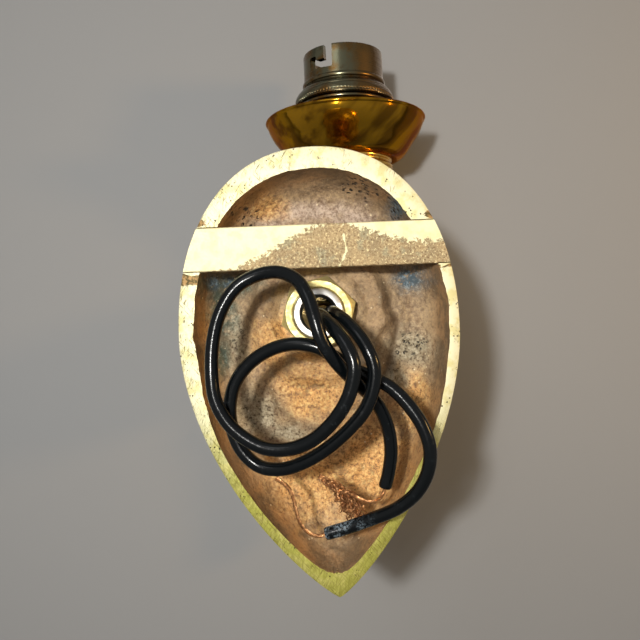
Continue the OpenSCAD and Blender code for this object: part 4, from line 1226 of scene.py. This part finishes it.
def plain_metal(name, first, second, rough, size=2.0):
    """Machined or plated metal with soft cloudy wear, for nuts, tubes, springs and screws."""
    f = Finish(name, Metallic=1.0)
    wear = f.step(f.noise(size, 5, 0.65), 0.36, 0.68)
    scratches = f.step(f.noise(0.5, 4, 0.7, (1, 9, 1)), 0.62, 0.72)
    colour = f.mix(wear, first, second)
    colour = f.mix(f.math("MULTIPLY", scratches, 0.4), colour, tuple(0.4 * c for c in second))
    return f.done(colour, f.scale(wear, rough, rough + 0.2), normal=f.bump(f.noise(0.4, 3), 0.01))


STEEL = plain_metal("bright_plate", (0.8, 0.79, 0.76), (0.62, 0.6, 0.55), 0.42)
NUT_BRASS = plain_metal("machined_brass", (0.82, 0.75, 0.38), (0.64, 0.53, 0.21), 0.5)
NICKEL = tarnished_nickel()
print("finishes:", STEEL.name, NUT_BRASS.name, NICKEL.name)

# %% [markdown]
# ## The arm: tube, nut, collar and cuff
#
# A threaded tube runs through the plate, and a hexagon nut with a wide chamfer clamps it. A stack
# of grooves would pass for the thread, but here it is a real helix: the radius rises and falls with
# the height along the tube plus the turn round it. In front of the plate a turned collar and the
# sleeve's cuff sit on the same tube, and a wave in the cuff's radius gathers its cloth.

# %% Threaded tube
TUBE_R, TUBE_BORE_R = 6.5, 4.8
TUBE_BACK, TUBE_FRONT_H, NUT_BACK = 6.0, 32, 7.7
THREAD_PITCH, THREAD_DEPTH, THREAD_END, THREAD_FADE = 1.0, 0.45, 14.5, 0.35


def threaded(a, r, h):
    """Cuts a helical V into the outside of the tube near its end."""
    turns = (h - TUBE_BACK) / THREAD_PITCH - a / (2 * math.pi)
    depth = THREAD_DEPTH * (1 - 2 * np.abs((turns % 1) - 0.5))
    fade = np.clip((h - TUBE_BACK) / THREAD_FADE, 0, 1) * np.clip(THREAD_END - h, 0, 1)
    return np.where(r > TUBE_BORE_R + 1, -depth * fade, 0)


tube_outline = [(TUBE_BORE_R + 0.15, TUBE_BACK), (TUBE_R - 0.35, TUBE_BACK)]
tube_outline += [(TUBE_R, h) for h in np.arange(TUBE_BACK + 0.3, THREAD_END + 0.1, 0.1)]
tube_outline += [(TUBE_R, TUBE_FRONT_H), (TUBE_BORE_R, TUBE_FRONT_H), (TUBE_BORE_R, TUBE_BACK + 0.3)]
points, faces = skin(spun(tube_outline, on_arm, 96, threaded), loop=True)
piece("arm_tube", points, faces, STEEL, ["arm_tube"], crease=50)

# %% Hexagon nut with a chamfered face
NUT_TURN = math.radians(15)


def hex_nut(name, half, bore, top, height, chamfer, place, sign=1):
    """A nut whose face is a flat ring that falls away to the six corners.

    half is half its width across the flats, and chamfer is the slope in degrees.
    """
    a = np.linspace(0, 2 * math.pi, 192, endpoint=False)
    rim = half / np.cos((a + math.pi / 6) % (math.pi / 3) - math.pi / 6)
    face_r = half - 0.25
    drop = (rim - face_r) * math.tan(math.radians(chamfer))
    base = top + sign * height
    rows = [(bore, base), (bore, top + sign * 0.5), (bore + 0.45, top)]
    rows += [(face_r, top), (face_r + 0.08, top + sign * 0.05)]
    rows += [(face_r + (rim - face_r) * t, top + sign * (drop * t + 0.05)) for t in (0.35, 0.7, 0.96)]
    rows += [(rim, top + sign * (drop + 0.25)), (rim, base - sign * 0.2), (rim - 0.2, base)]
    rings = np.array([place(r + 0 * a, a + NUT_TURN, h + 0 * a) for r, h in rows])
    points, faces = skin(rings, loop=True)
    return piece(name, points, faces, NUT_BRASS, [name], crease=28)


hex_nut("back_nut", 8.75, 6.55, NUT_BACK, 4.8, 38, on_arm)
hex_nut("dish_nut", 7.5, 5.05, 39.4, 2.4, 30, on_lamp, -1)

# %% Collar and cuff
ARM_BORE_R = 6.6
FOLDS, FOLD_DEPTH, FOLD_LOW, FOLD_H = 22, 0.38, 22.6, 5.6

collar = [(13, 15.7), (13, 16.3)] + arc((12.7, 16.5), (11.6, 17.5), -0.25, 7)
collar += arc((11.2, 17.6), (11.2, 18.6), 0.5, 9) + arc((11.4, 18.7), (13.4, 19.4), -0.4, 7)
collar += [(13.9, 19.6), (14, 20.0), (14, 20.5)]
arm_collar = turned("arm_collar", collar, ARM_BORE_R, ARM_BRASS, on_arm, ease=0.12)


def gathers(a, r, h):
    """Soft folds in the cuff's sleeve, deepest at its middle."""
    if r <= 13.8 or not FOLD_LOW < h < FOLD_LOW + FOLD_H:
        return 0 * a
    return FOLD_DEPTH * math.sin(math.pi * (h - FOLD_LOW) / FOLD_H) * (np.cos(FOLDS * a) - 1)


sleeve = [(14, 20.5), (15.0, 20.7)] + arc((15.5, 21), (15.5, 22.3), 0.35, 9) + [(15.1, 22.5)]
sleeve += arc((14.9, 22.7), (15.3, 28.2), 0.25, 15) + [(15.2, 28.4)]
sleeve += arc((15.6, 28.7), (15.8, 30.6), 0.62, 13) + [(15.4, 31), (13.3, 31), (13.3, 27.6)]
cuff = turned("cuff", sleeve, ARM_BORE_R, CAST, on_arm, ease=0.12, steps=264, wave=gathers)
for obj in (arm_collar, cuff):
    paint_hollows(obj, 5, 6)

# %% [markdown]
# ## The torch
#
# Every part of the torch is threaded on one hollow rod: from below the pommel, the lower shaft and
# a ring, then the fist, the upper shaft, the cup and the dish. Beads and coves are arcs in the
# outlines. The cup's bowl and the lower shaft have shallow lobes, which could be cut one by one,
# but a wave in the rings' radius gives them all alike. Each outline is a list of radius and height.

# %% Upper shaft and cup
ROD_BORE_R, PIN_BORE_R, LOBED_R = 5.1, 2.05, 6


def lobes(count, low, high, depth):
    """Shallow upright lobes between two heights."""
    def wave(a, r, h):
        if r <= LOBED_R:
            return 0 * a
        inside = np.clip((h - low) / (high - low), 0, 1)
        return depth * math.sin(math.pi * inside) ** 0.7 * (np.abs(np.cos(count * a / 2)) - 1)
    return wave


stem = arc((8.7, 7), (8.7, 8.3), 0.32) + arc((8.1, 8.5), (7.3, 10), -0.2, 7)
stem += [(7.35, 12), (7.6, 15.3), (7.95, 17.6)] + arc((8.3, 18.4), (8.5, 19), -0.15, 5)
stem += arc((9.2, 19.3), (9.2, 21.1), 0.62, 11) + arc((8.6, 21.3), (8.4, 22.2), -0.12, 5)
stem += [(8.4, 22.4), (8.4, 23.6)]
upper_stem = turned("upper_stem", stem, ROD_BORE_R, TORCH_BRASS, ease=0.12)

bowl = arc((8.4, 23.6), (9.4, 24.3), 0.15, 5) + [(9.6, 24.5)] + arc((10, 24.7), (15.2, 31.2), 1.5, 23)
bowl += arc((15.0, 31.6), (15.0, 32.4), -0.22, 7) + arc((15.2, 32.6), (15.2, 34.0), 0.6, 11)
bowl += arc((15.0, 34.2), (15.0, 35.0), -0.18, 7) + [(15.5, 35.2), (15.6, 35.8)]
bowl_lobes = lobes(18, 24.9, 31.2, 0.85)
torch_cup = turned("torch_cup", bowl, ROD_BORE_R, TORCH_BRASS, steps=288, wave=bowl_lobes)

# %% Ring, lower shaft and pommel
ring = [(8.0, -42.5)] + arc((8.4, -42.3), (8.4, -39.7), 0.6, 13) + [(8.0, -39.5)]
fist_collar = turned("fist_collar", ring, ROD_BORE_R, TORCH_BRASS)

shaft = [(5.4, -77.5)] + arc((5.4, -77.3), (5.4, -75.9), 0.4, 9) + arc((5.0, -75.7), (4.5, -74.6), -0.15, 7)
shaft += [(4.6, -72), (5.2, -62), (6.1, -51), (6.8, -46.6)] + arc((7.3, -46.1), (7.9, -45.6), -0.12, 5)
shaft += arc((8.1, -45.4), (8.1, -43.9), 0.5, 9) + [(7.8, -43.7), (8.2, -43.2), (8.2, -42.5)]
shaft_lobes = lobes(14, -74, -47.5, 0.45)
lower_stem = turned("lower_stem", shaft, PIN_BORE_R, TORCH_BRASS, ease=0.15, steps=192,
                    wave=shaft_lobes)

knob = arc((1.0, -86.9), (1.55, -85.6), 0.35, 7) + arc((1.7, -85.4), (3.6, -84.4), -0.25, 7)
knob += arc((3.9, -84.2), (4.3, -80.3), 1.75, 21) + arc((4.2, -80.1), (4.2, -79.3), -0.25, 7)
knob += arc((4.3, -79.2), (4.3, -77.6), 0.45, 9) + [(4.2, -77.5), (2.0, -77.5), (2.0, -70.5)]
pommel = solid_turned("pommel", knob, TORCH_BRASS, 0.08)

# %% [markdown]
# ## The drip dish
#
# The dish was spun from thin sheet, polished and lacquered, so it has the deepest colour and the
# sharpest reflections of the light. Its rim is rolled to a bead. A Solidify modifier could give it
# its thickness, but here the inside is the outside moved in by one thickness, which leaves the rim
# free for the bead and the middle free for the flat that the nut clamps.

# %% Drip dish
DISH_OUT = [
    (16, 35.8), (17.6, 35.95), (19.6, 36.9), (21.3, 38.8), (22.8, 41.1), (24.9, 44.1), (26.4, 47),
    (27.0, 49.2),
]
DISH_T = 1.1
BEAD_R, BEAD_H, BEAD_W, BEAD_T = 26.75, 49.45, 0.72, 0.62
outer = smooth_path(DISH_OUT, 0.5)
way = unit(np.gradient(outer, axis=0))
inner = outer + DISH_T * np.stack([-way[:, 1], way[:, 0]], -1)
bead_turn = np.linspace(-0.9, 3.7, 15)
bead = [(BEAD_R + BEAD_W * math.cos(a), BEAD_H + BEAD_T * math.sin(a)) for a in bead_turn]
section = [(ROD_BORE_R, 35.8), (9, 35.8), (13, 35.8)] + outer.tolist()[:-1] + bead
section += inner.tolist()[-2::-1] + [(15.6, 37), (10, 37), (ROD_BORE_R, 37)]
points, faces = skin(spun(section, on_lamp, 240), loop=True)
drip_dish = piece("drip_dish", points, faces, LACQUER, ["drip_dish"], crease=30)

# %% [markdown]
# ## The bayonet lampholder
#
# A bell-shaped cap screws on the rod. The barrel stands in it, with a shoulder for the shade ring,
# a rolled bead and two J-shaped slots that take the lamp's pins. The slots go right through the
# wall, so they are cut with an exact boolean; the ring's knurls are a wave in its radius.

# %% Cap of the lampholder
cap = [(7.4, 39.4), (7.4, 40.6)] + arc((7.6, 40.8), (14.0, 46.2), 0.9, 15) + [(14.5, 48), (14.8, 50.5)]
cap += arc((14.9, 52.6), (15.0, 53.6), -0.2, 7) + arc((15.3, 53.8), (15.3, 55.4), 0.75, 11)
cap += [(15.3, 55.5), (14.15, 55.5), (14.15, 52.2), (11.8, 52.2), (11.8, 45.9), (9, 43.1), (5.05, 41.7)]
lamp_cap = turned("lampholder_cap", cap, 5.05, NICKEL)

# %% Knurled ring
KNURLS, KNURL_DEPTH, KNURL_TOP, KNURL_FADE, KNURLED_R = 96, 0.24, 56.7, 0.3, 16.4


def knurls(a, r, h):
    """Upright knurls on the lower part of the shade ring."""
    low = np.clip((KNURL_TOP - h) / KNURL_FADE, 0, 1) if r > KNURLED_R else 0
    return -KNURL_DEPTH * low * np.clip(0.5 - 1.2 * np.cos(KNURLS * a), 0, 1)


shade_ring = [(16.2, 55.5), (16.85, 55.7)] + [(16.9, h) for h in np.linspace(55.9, 57.1, 6)] + [(16.85, 57.2)]
shade_ring += arc((16.75, 57.4), (15.95, 58.85), 0.12, 7) + [(15.75, 58.9)]
knurled = turned("knurled_ring", shade_ring, 15.55, NICKEL, ease=0.08, steps=576,
                 wave=knurls)

# %% Barrel of the lampholder
barrel = [(14.1, 52.5), (14.1, 55.6), (15.5, 55.6), (15.5, 58.9)] + arc((15.45, 59.1), (13.9, 60.6), 0.3, 9)
barrel += [(13.65, 61.2)] + arc((13.6, 61.4), (13.6, 63.0), 0.62, 11)
barrel += [(13.6, 63.4), (13.6, 66), (13.6, 69), (13.6, 71.9), (13.45, 72.35), (13.1, 72.5)]
barrel += [(11.8, 72.5), (11.4, 72.3), (11.3, 62.1), (11.6, 61.8), (11.6, 54.2), (13.1, 54.2), (13.1, 52.5)]
points, faces = skin(spun(eased(barrel, 0.1), on_lamp, 192), loop=True)
lamp_barrel = piece("lampholder_barrel", points, faces, NICKEL, ["lampholder_barrel"])

# %% The two J-shaped slots
SLOT_W, SLOT_FOOT, SLOT_TURN, SLOT_AIM = 3.0, 65.0, 26, 24
SLOT_TOP, SEAT_H, SLOT_ROUND = 75, 4.4, 0.7
SLOT_IN, SLOT_OUT, LEG_IN, LEG_OUT, LEG_RISE = 8.8, 16, 9.0, 16.2, 0.1


def slot_tool(width_heights, angle):
    """A cutter with this outline across the wall, standing at an angle round the lamp's axis."""
    rounded = eased(width_heights, SLOT_ROUND, 5)
    c, s = math.cos(math.radians(angle)), math.sin(math.radians(angle))
    rings = []
    for x in (SLOT_IN, SLOT_OUT):
        rings.append([(LAMP_XY[0] + x * c - y * s, LAMP_XY[1] + x * s + y * c, z) for y, z in rounded])
    return tool(*skin(rings))


def leg_tool(start, end):
    """The level leg, a sector between two angles."""
    angles = np.radians(np.linspace(start, end, 9))
    flat = [(LEG_OUT * math.cos(a), LEG_OUT * math.sin(a)) for a in angles]
    flat += [(LEG_IN * math.cos(a), LEG_IN * math.sin(a)) for a in angles[::-1]]
    heights = (SLOT_FOOT + LEG_RISE, SLOT_FOOT + SLOT_W)
    return tool(*skin([[(LAMP_XY[0] + x, LAMP_XY[1] + y, z) for x, y in flat] for z in heights]))


half = SLOT_W / 2
entry_shape = [(-half, SLOT_FOOT), (half, SLOT_FOOT), (half, SLOT_TOP), (-half, SLOT_TOP)]
seat_shape = [(x, min(z, SLOT_FOOT + SEAT_H)) for x, z in entry_shape]
cutters = []
for turn_by in (0, 180):
    entry = 90 - SLOT_AIM + turn_by
    cutters.append(slot_tool(entry_shape, entry))
    cutters.append(leg_tool(entry, entry - SLOT_TURN))
    cutters.append(slot_tool(seat_shape, entry - SLOT_TURN))
cut(lamp_barrel, cutters)
finish_piece(lamp_barrel, NICKEL, crease=30)
print("barrel faces with its slots:", len(lamp_barrel.data.polygons))

# %% [markdown]
# ## The insulator and its contacts
#
# A brown moulded block fills the barrel and guides two sprung contacts, which a lamp's cap presses
# in. Each contact rides on a body of its own, so that it can move. The holes in the block could be
# part of its outline if they stood on its axis. They stand beside it, so they are drilled.

# %% Finish of the insulator
def phenolic():
    f = Finish("moulded_phenolic", Specular_IOR_Level=0.5)
    swirl = f.step(f.noise(3.5, 5, 0.6, warp=1.2), 0.42, 0.64)
    colour = f.mix(swirl, (0.055, 0.03, 0.02), (0.1, 0.055, 0.032))
    colour = f.mix(f.step(f.noise(1.2, 4, 0.7), 0.6, 0.74), colour, (0.17, 0.13, 0.1))
    return f.done(colour, f.scale(f.noise(1.5), 0.3, 0.55), normal=f.bump(f.noise(0.6, 3), 0.02))


PHENOLIC = phenolic()
print("finish:", PHENOLIC.name)

# %% Insulator
CONTACT_GAP = 9.0
TIP_Z, INSULATOR_TOP = 61.5, 56.5
# Radius, bottom and top of the hole for the contact's pin and of the wider one for its flange
DRILLS = ((2.35, 54.0, 58.0), (3.1, 47.0, 54.5))
contacts = {}
for name, side in (("contact_left", -1), ("contact_right", 1)):
    a, off = math.radians(-SLOT_AIM), side * CONTACT_GAP / 2
    contacts[name] = (LAMP_XY[0] + off * math.cos(a), LAMP_XY[1] + off * math.sin(a), 0)

block = [(10.9, 48.1), (10.9, 52.2), (13.0, 52.2), (13.0, 54.2), (10.9, 54.2), (10.9, 56.1)]
block += [(10.5, INSULATOR_TOP), (9.4, INSULATOR_TOP), (9.1, INSULATOR_TOP - 0.5), (0.5, INSULATOR_TOP - 0.5)]
insulator = solid_turned("insulator", block, PHENOLIC, 0.15)
drills = []
for at in contacts.values():
    for radius, low, high in DRILLS:
        hole = spun([(radius, low), (radius, high)], on_lamp, 48, None, at)
        drills.append(tool(*skin(hole)))
cut(insulator, drills)
finish_piece(insulator, PHENOLIC)

# %% Sprung contacts
pin = [(POLE_R, 60.0), (1.8, 60.0), (1.8, 52.9), (2.9, 52.9), (2.9, 54.3), (2.3, 54.4), (2.3, 60.2)]
pin += arc((2.3, 60.3), (1.6, 61.2), 0.2, 7) + [(1.3, 61.35), (1.1, 61.15), (0.35, 61.15)]
pin += [(0.3, 61.45), (POLE_R, TIP_Z - 0.05)]
for name, at in contacts.items():
    plunger = name.replace("contact", "contact_plunger")
    points, faces = skin(spun(pin, on_lamp, 64, None, at))
    made = piece(plunger, points, faces, TORCH_BRASS, [plunger], body=name)
    paint_hollows(made, 3, 8)

# %% [markdown]
# ## The contact springs
#
# A coil spring stands in each plunger and shortens when a lamp's cap presses the plunger in. The
# Screw modifier could wind it, but a tube swept along a helix that flattens at its ends lies level
# on its seat, as a ground spring does.

# %% Two helical springs
SPRING_TURNS, SPRING_WIRE, POINTS_A_TURN = 7, 0.45, 36


def spring_route(middle, radius, low, high):
    """A helix whose first and last turns rise less than the others."""
    share = np.linspace(0, 1, SPRING_TURNS * POINTS_A_TURN + 1)
    off = share - 0.5
    rise = 0.5 + off * (1.12 - 0.48 * off**2)
    angle = 2 * math.pi * SPRING_TURNS * share
    x = middle[0] + radius * np.cos(angle)
    y = middle[1] + radius * np.sin(angle)
    return np.stack([x, y, low + (high - low) * rise], -1)


SPRING_STEEL = plain_metal("drawn_spring_steel", (0.5, 0.5, 0.52), (0.34, 0.34, 0.36), 0.28, 1.2)
for name, at in contacts.items():
    node = name.replace("contact", "contact_spring")
    low, high = (np.array(corner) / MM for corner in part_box(node))
    radius = (high[0] - low[0] - SPRING_WIRE) / 2
    route = spring_route(at, radius, low[2] + SPRING_WIRE / 2, high[2] - SPRING_WIRE / 2)
    points, faces = skin(tube_rings(route, SPRING_WIRE / 2, 12))
    made = piece(node, points, faces, SPRING_STEEL, [node])
    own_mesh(made)

# %% [markdown]
# ## Pieces that stay as solids
#
# The rod, the terminals with their screws and the hidden runs of the leads have the right shape
# already. Finer meshes could stand for them too, but nothing of them shows from outside, so they
# keep their solids and only get real finishes.

# %% Finishes for the inner solids
INNER = {
    "torch_rod": STEEL, "terminals": NUT_BRASS, "terminal_screws": STEEL, "inner_leads": COVERING,
    "inner_conductors": COPPER,
}
for name, finish in INNER.items():
    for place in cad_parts[name].material_slots:
        place.link = "OBJECT"
        place.material = finish
    print("kept solid:", name)

# %% [markdown]
# ## The hand
#
# The hand is the sculptor's part of the casting. It could be pushed about from a subdivided box,
# but a hand that grips a round shaft is easier to describe by its bones: each finger is a chain of
# balls round the shaft. The balls are joined by a smooth minimum of their distances, which fills
# the webs between them as flesh does, and the surface where that distance is zero becomes the mesh.
# Nails and knuckle creases are then pressed into it.

# %% Bones of the hand
# Holes for the torch's shaft, the arm's tube and the leads, and where the tube and the hand end
GRIP_HOLE_R, TUBE_HOLE_R = 6.6, 6.7
WIRE_R, WIRE_X = 3.8, -1.2
TUBE_FRONT, BACK_Y = -32.2, -22.4
# Heights from the arm, radii and leans of the four fingers, and their route round the torch's axis
FINGER_Z = [10.2, 0.9, -8.2, -16.5]
FINGER_R = [4.8, 5.0, 4.8, 4.1]
FINGER_LEAN = [0.9, 0.2, -0.4, -0.9]
FINGER_PATH = [(12.6, -7), (6.5, -14.6), (-4, -13.2), (-12.6, -5), (-10.4, 5.6)]
# The thumb's route, with heights from the arm
THUMB_PATH = [(9.5, 23, 8), (2, 16.5, 15.6), (-10.4, 10, 18), (-14.2, -1.6, 15.8)]
THUMB_R = [6.6, 5.4, 4.6, 4.0]
BONE_STEP = 1.5
# How far along a finger or the thumb its joints and its nail lie
MIDDLE_JOINT, END_JOINT, FINGER_NAIL = 16.0, 29.5, 34.0
THUMB_JOINT, THUMB_NAIL = 20.5, 30.5


def around_lamp(points, z):
    return [(LAMP_XY[0] + x, LAMP_XY[1] + y, z) for x, y in points]


def finger_bones(k):
    """Points and radii of one finger from its knuckle, with swollen joints."""
    path = np.array(around_lamp(FINGER_PATH, ARM_Z + FINGER_Z[k]))
    path[:, 2] += FINGER_LEAN[k] * np.linspace(0, 1, len(path))
    path = smooth_path(path, BONE_STEP)
    run = run_along(path)
    radius = FINGER_R[k] * (0.985 + 0.07 * bell(run - MIDDLE_JOINT, 3) + 0.045 * bell(run - END_JOINT, 2.4))
    radius *= 1 - 0.05 * np.clip(run / run[-1], 0, 1) - 0.1 * np.clip((run - run[-1] + 4) / 4, 0, 1) ** 2
    return path, radius, run


FINGERS = [finger_bones(k) for k in range(4)]
thumb_line = [(LAMP_XY[0] + x, LAMP_XY[1] + y, ARM_Z + z) for x, y, z in THUMB_PATH]
thumb_path = smooth_path(thumb_line, BONE_STEP)
thumb_run = run_along(thumb_path)
thumb_radius = np.interp(np.linspace(0, 1, len(thumb_path)), np.linspace(0, 1, 4), THUMB_R)
thumb_radius = thumb_radius * (1 + 0.06 * bell(thumb_run - 21, 3))
print("lengths of the fingers in mm:", [round(float(run[-1]), 1) for _, _, run in FINGERS])

# %% Distances on a grid
# Width of a cell and the grid's corners in mm; a distance past FAR isn't needed
CELL = 0.4
LOW, HIGH = np.array([-33.0, -93.0, -44.0]), np.array([15.0, -21.5, 11.0])
size = np.ceil((HIGH - LOW) / CELL).astype(int)
axes = [LOW[k] + CELL * np.arange(size[k], dtype=np.float32) for k in range(3)]
GX, GY, GZ = np.meshgrid(*axes, indexing="ij")
FAR = 6.0


def chain(points, radii):
    """Distance to a chain of balls and the cones between them, capped at FAR."""
    best = np.full(GX.shape, FAR, np.float32)
    points, radii = np.asarray(points, float), np.asarray(radii, float)
    for a, b, ra, rb in zip(points, points[1:], radii, radii[1:]):
        reach = max(ra, rb) + FAR
        low = np.clip(((np.minimum(a, b) - reach - LOW) / CELL).astype(int), 0, size)
        high = np.clip(((np.maximum(a, b) + reach - LOW) / CELL).astype(int) + 2, 0, size)
        part = tuple(slice(i, j) for i, j in zip(low, high))
        x, y, z = GX[part] - a[0], GY[part] - a[1], GZ[part] - a[2]
        d = b - a
        t = np.clip((x * d[0] + y * d[1] + z * d[2]) / (d @ d), 0, 1)
        far = np.sqrt((x - t * d[0]) ** 2 + (y - t * d[1]) ** 2 + (z - t * d[2]) ** 2) - (ra + (rb - ra) * t)
        best[part] = np.minimum(best[part], far)
    return best


def join(a, b, blend):
    """The smaller of two distances, rounded where they are alike."""
    share = np.clip(blend - np.abs(a - b), 0, None) / blend
    return np.minimum(a, b) - share * share * blend * 0.25


print("cells of the grid:", size.tolist())

# %% Fingers, wrist, palm and thumb joined
# Two bones of the wrist and three of the palm's heel, each as points beside the arm and radii
WRIST = [
    ([(0.2, -20, 4.6), (-0.2, -38, 4.4)], [8.2, 8.0]),
    ([(0.2, -20, -4.6), (-0.2, -38, -4.6)], [8.2, 7.8]),
]
HEEL = [
    [(-3.6, -46, -8.5), (-6.5, -58, -11), (-9, -66, -11.5)],
    [(-2.6, -45, 5), (-5.5, -57, 5), (-9, -66, 4)],
    [(-4, -48, -2), (-7, -60, -3), (-9, -66, -4)],
]
HEEL_R = [7.0, 6.4, 7.4]
# Heights of the bones of the back of the hand, at the wrist and halfway to the knuckles
ROOTS, MIDS = [6.6, 2.2, -2.6, -7.2], [9.4, 1.8, -6.6, -13.8]


def beside_arm(points):
    return [(x, y, ARM_Z + z) for x, y, z in points]


fingers = chain(*FINGERS[0][:2])
for path, radius, run in FINGERS[1:]:
    fingers = join(fingers, chain(path, radius), 0.7)
upper_bone, lower_bone = (chain(beside_arm(bones), radii) for bones, radii in WRIST)
palm = join(upper_bone, lower_bone, 5)
for k in range(4):
    knuckle = FINGERS[k][0][0]
    back_bone = [(-0.6, -38, ARM_Z + ROOTS[k]), (-0.5, -55, ARM_Z + MIDS[k]), tuple(knuckle)]
    palm = join(palm, chain(back_bone, [6.9, 6.2, FINGER_R[k] + 0.45]), 1.7)
    bump = knuckle + np.array([1.1, 1.4, 0])
    palm = join(palm, chain([bump, bump + np.array([0, 0.6, 0])], [FINGER_R[k] + 0.3] * 2), 1.5)
for line in HEEL:
    palm = join(palm, chain(beside_arm(line), HEEL_R), 4)
palm = join(palm, chain(thumb_path[:6], thumb_radius[:6] + 0.5), 5)
hand_distance = join(palm, fingers, 2.2)
hand_distance = join(hand_distance, chain(thumb_path, thumb_radius), 1.6)
print("cells inside the hand:", int((hand_distance < 0).sum()))

# %% Holes cut, and the surface
from_lamp_axis = np.hypot(GX - LAMP_XY[0], GY - LAMP_XY[1])
from_arm_axis = np.hypot(GX, GZ - ARM_Z)
wires = np.where(GY > LAMP_XY[1], np.hypot(GX - WIRE_X, GZ - ARM_Z) - WIRE_R, FAR)
tube_space = np.where(GY > TUBE_FRONT, from_arm_axis - TUBE_HOLE_R, FAR)
for hole in (from_lamp_axis - GRIP_HOLE_R, wires, tube_space, BACK_Y - GY):
    hand_distance = np.maximum(hand_distance, -hole)

grid = openvdb.FloatGrid(background=FAR)
grid.copyFromArray(np.clip(hand_distance, -3, FAR).astype(np.float32))
hand_points, hand_quads = grid.convertToQuads(isovalue=0.0)
hand_points = hand_points * CELL + LOW
print("hand surface:", len(hand_points), "points")

# %% Nails and creases
CREASE_DEPTH, CREASE_W = 0.26, 0.34
# The lines of a crease: how far from the joint, and how deep beside the middle one
CREASES = ((-1.3, 0.6), (0, 1), (1.3, 0.7))
NAIL_LIFT, NAIL_SINK, NAIL_EDGE_W, NAIL_HALF, NAIL_SHARE = 0.16, 0.3, 0.14, 3.3, 0.72
# The outer side starts this share of the radius out, and is full after this much more
OUTER_FROM, OUTER_FADE = 0.35, 0.3
BATCH = 6000


def press(points):
    """Moves points along the fingers' outer side to leave creases and nails."""
    moved = np.zeros(len(points))
    rows = [(*facts, FINGER_NAIL, (MIDDLE_JOINT, END_JOINT)) for facts in FINGERS]
    rows.append((thumb_path, thumb_radius, thumb_run, THUMB_NAIL, (THUMB_JOINT,)))
    for path, radius, run, nail_at, joints in rows:
        gap = np.linalg.norm(points[:, None] - path[None], axis=2) - radius[None]
        near = gap.argmin(1)
        close = gap.min(1) < 0.9
        offset = points - path[near]
        outward = path[near] - np.array([LAMP_XY[0], LAMP_XY[1], 0])
        outward[:, 2] = 0
        outward = unit(outward)
        depth = (offset * outward).sum(1) / radius[near]
        way = unit(np.gradient(path, axis=0))
        s = run[near] + (offset * way[near]).sum(1)
        outer = np.clip((depth - OUTER_FROM) / OUTER_FADE, 0, 1) * close
        for joint in joints:
            for shift, strength in CREASES:
                moved -= CREASE_DEPTH * strength * outer * bell(s - joint - shift, CREASE_W)
        rest = offset - depth[:, None] * radius[near][:, None] * outward
        across = rest[:, 2] / (NAIL_SHARE * radius[near])
        u = (s - nail_at - NAIL_HALF) / NAIL_HALF
        shape = (np.abs(u) ** 3 + np.abs(across) ** 3) ** (1 / 3)
        nail = outer * np.clip((1.0 - shape) / 0.12, 0, 1)
        edge = outer * bell(shape - 1.12, NAIL_EDGE_W)
        moved += NAIL_LIFT * nail - NAIL_SINK * edge
    return moved


# %% The finished hand
hand = piece("hand", hand_points, hand_quads.tolist(), CAST, ["hand"], crease=80)
flesh = bmesh_of(hand.data)
print("open edges of the hand:", sum(e.is_boundary for e in flesh.edges))
bmesh.ops.smooth_vert(flesh, verts=flesh.verts, factor=0.5, use_axis_x=True, use_axis_y=True, use_axis_z=True)
flesh.normal_update()
at = np.array([v.co for v in flesh.verts]) / MM
amounts = np.concatenate([press(at[i:i + BATCH]) for i in range(0, len(at), BATCH)])
for vertex, amount in zip(flesh.verts, amounts):
    vertex.co += vertex.normal * float(amount) * MM
flesh.to_mesh(hand.data)
flesh.free()
finish_piece(hand, CAST, crease=80)
paint_hollows(hand, 10, 2.2)

# %% The shaft inside the fist, and dirt and painted shade in the hollows of every turned piece
grip = [(6.2, -39.5), (6.6, -39.3)] + arc((6.8, -39.0), (6.8, -37.9), 0.3, 7)
grip += [(6.7, -37.7), (6.9, -36), (7.0, -20), (6.9, 3.6), (6.7, 5.0)]
grip += arc((6.8, 5.2), (6.8, 6.5), 0.35, 7) + [(6.4, 6.8), (6.2, 7)]
torch_grip = turned("torch_grip", grip, ROD_BORE_R, CAST)
torch_pieces = (upper_stem, torch_cup, fist_collar, lower_stem, pommel, drip_dish)
for obj in (*torch_pieces, lamp_cap, knurled, lamp_barrel, torch_grip):
    paint_hollows(obj, 4, 6)
print("turned pieces with dirt:", len(torch_pieces) + 4)
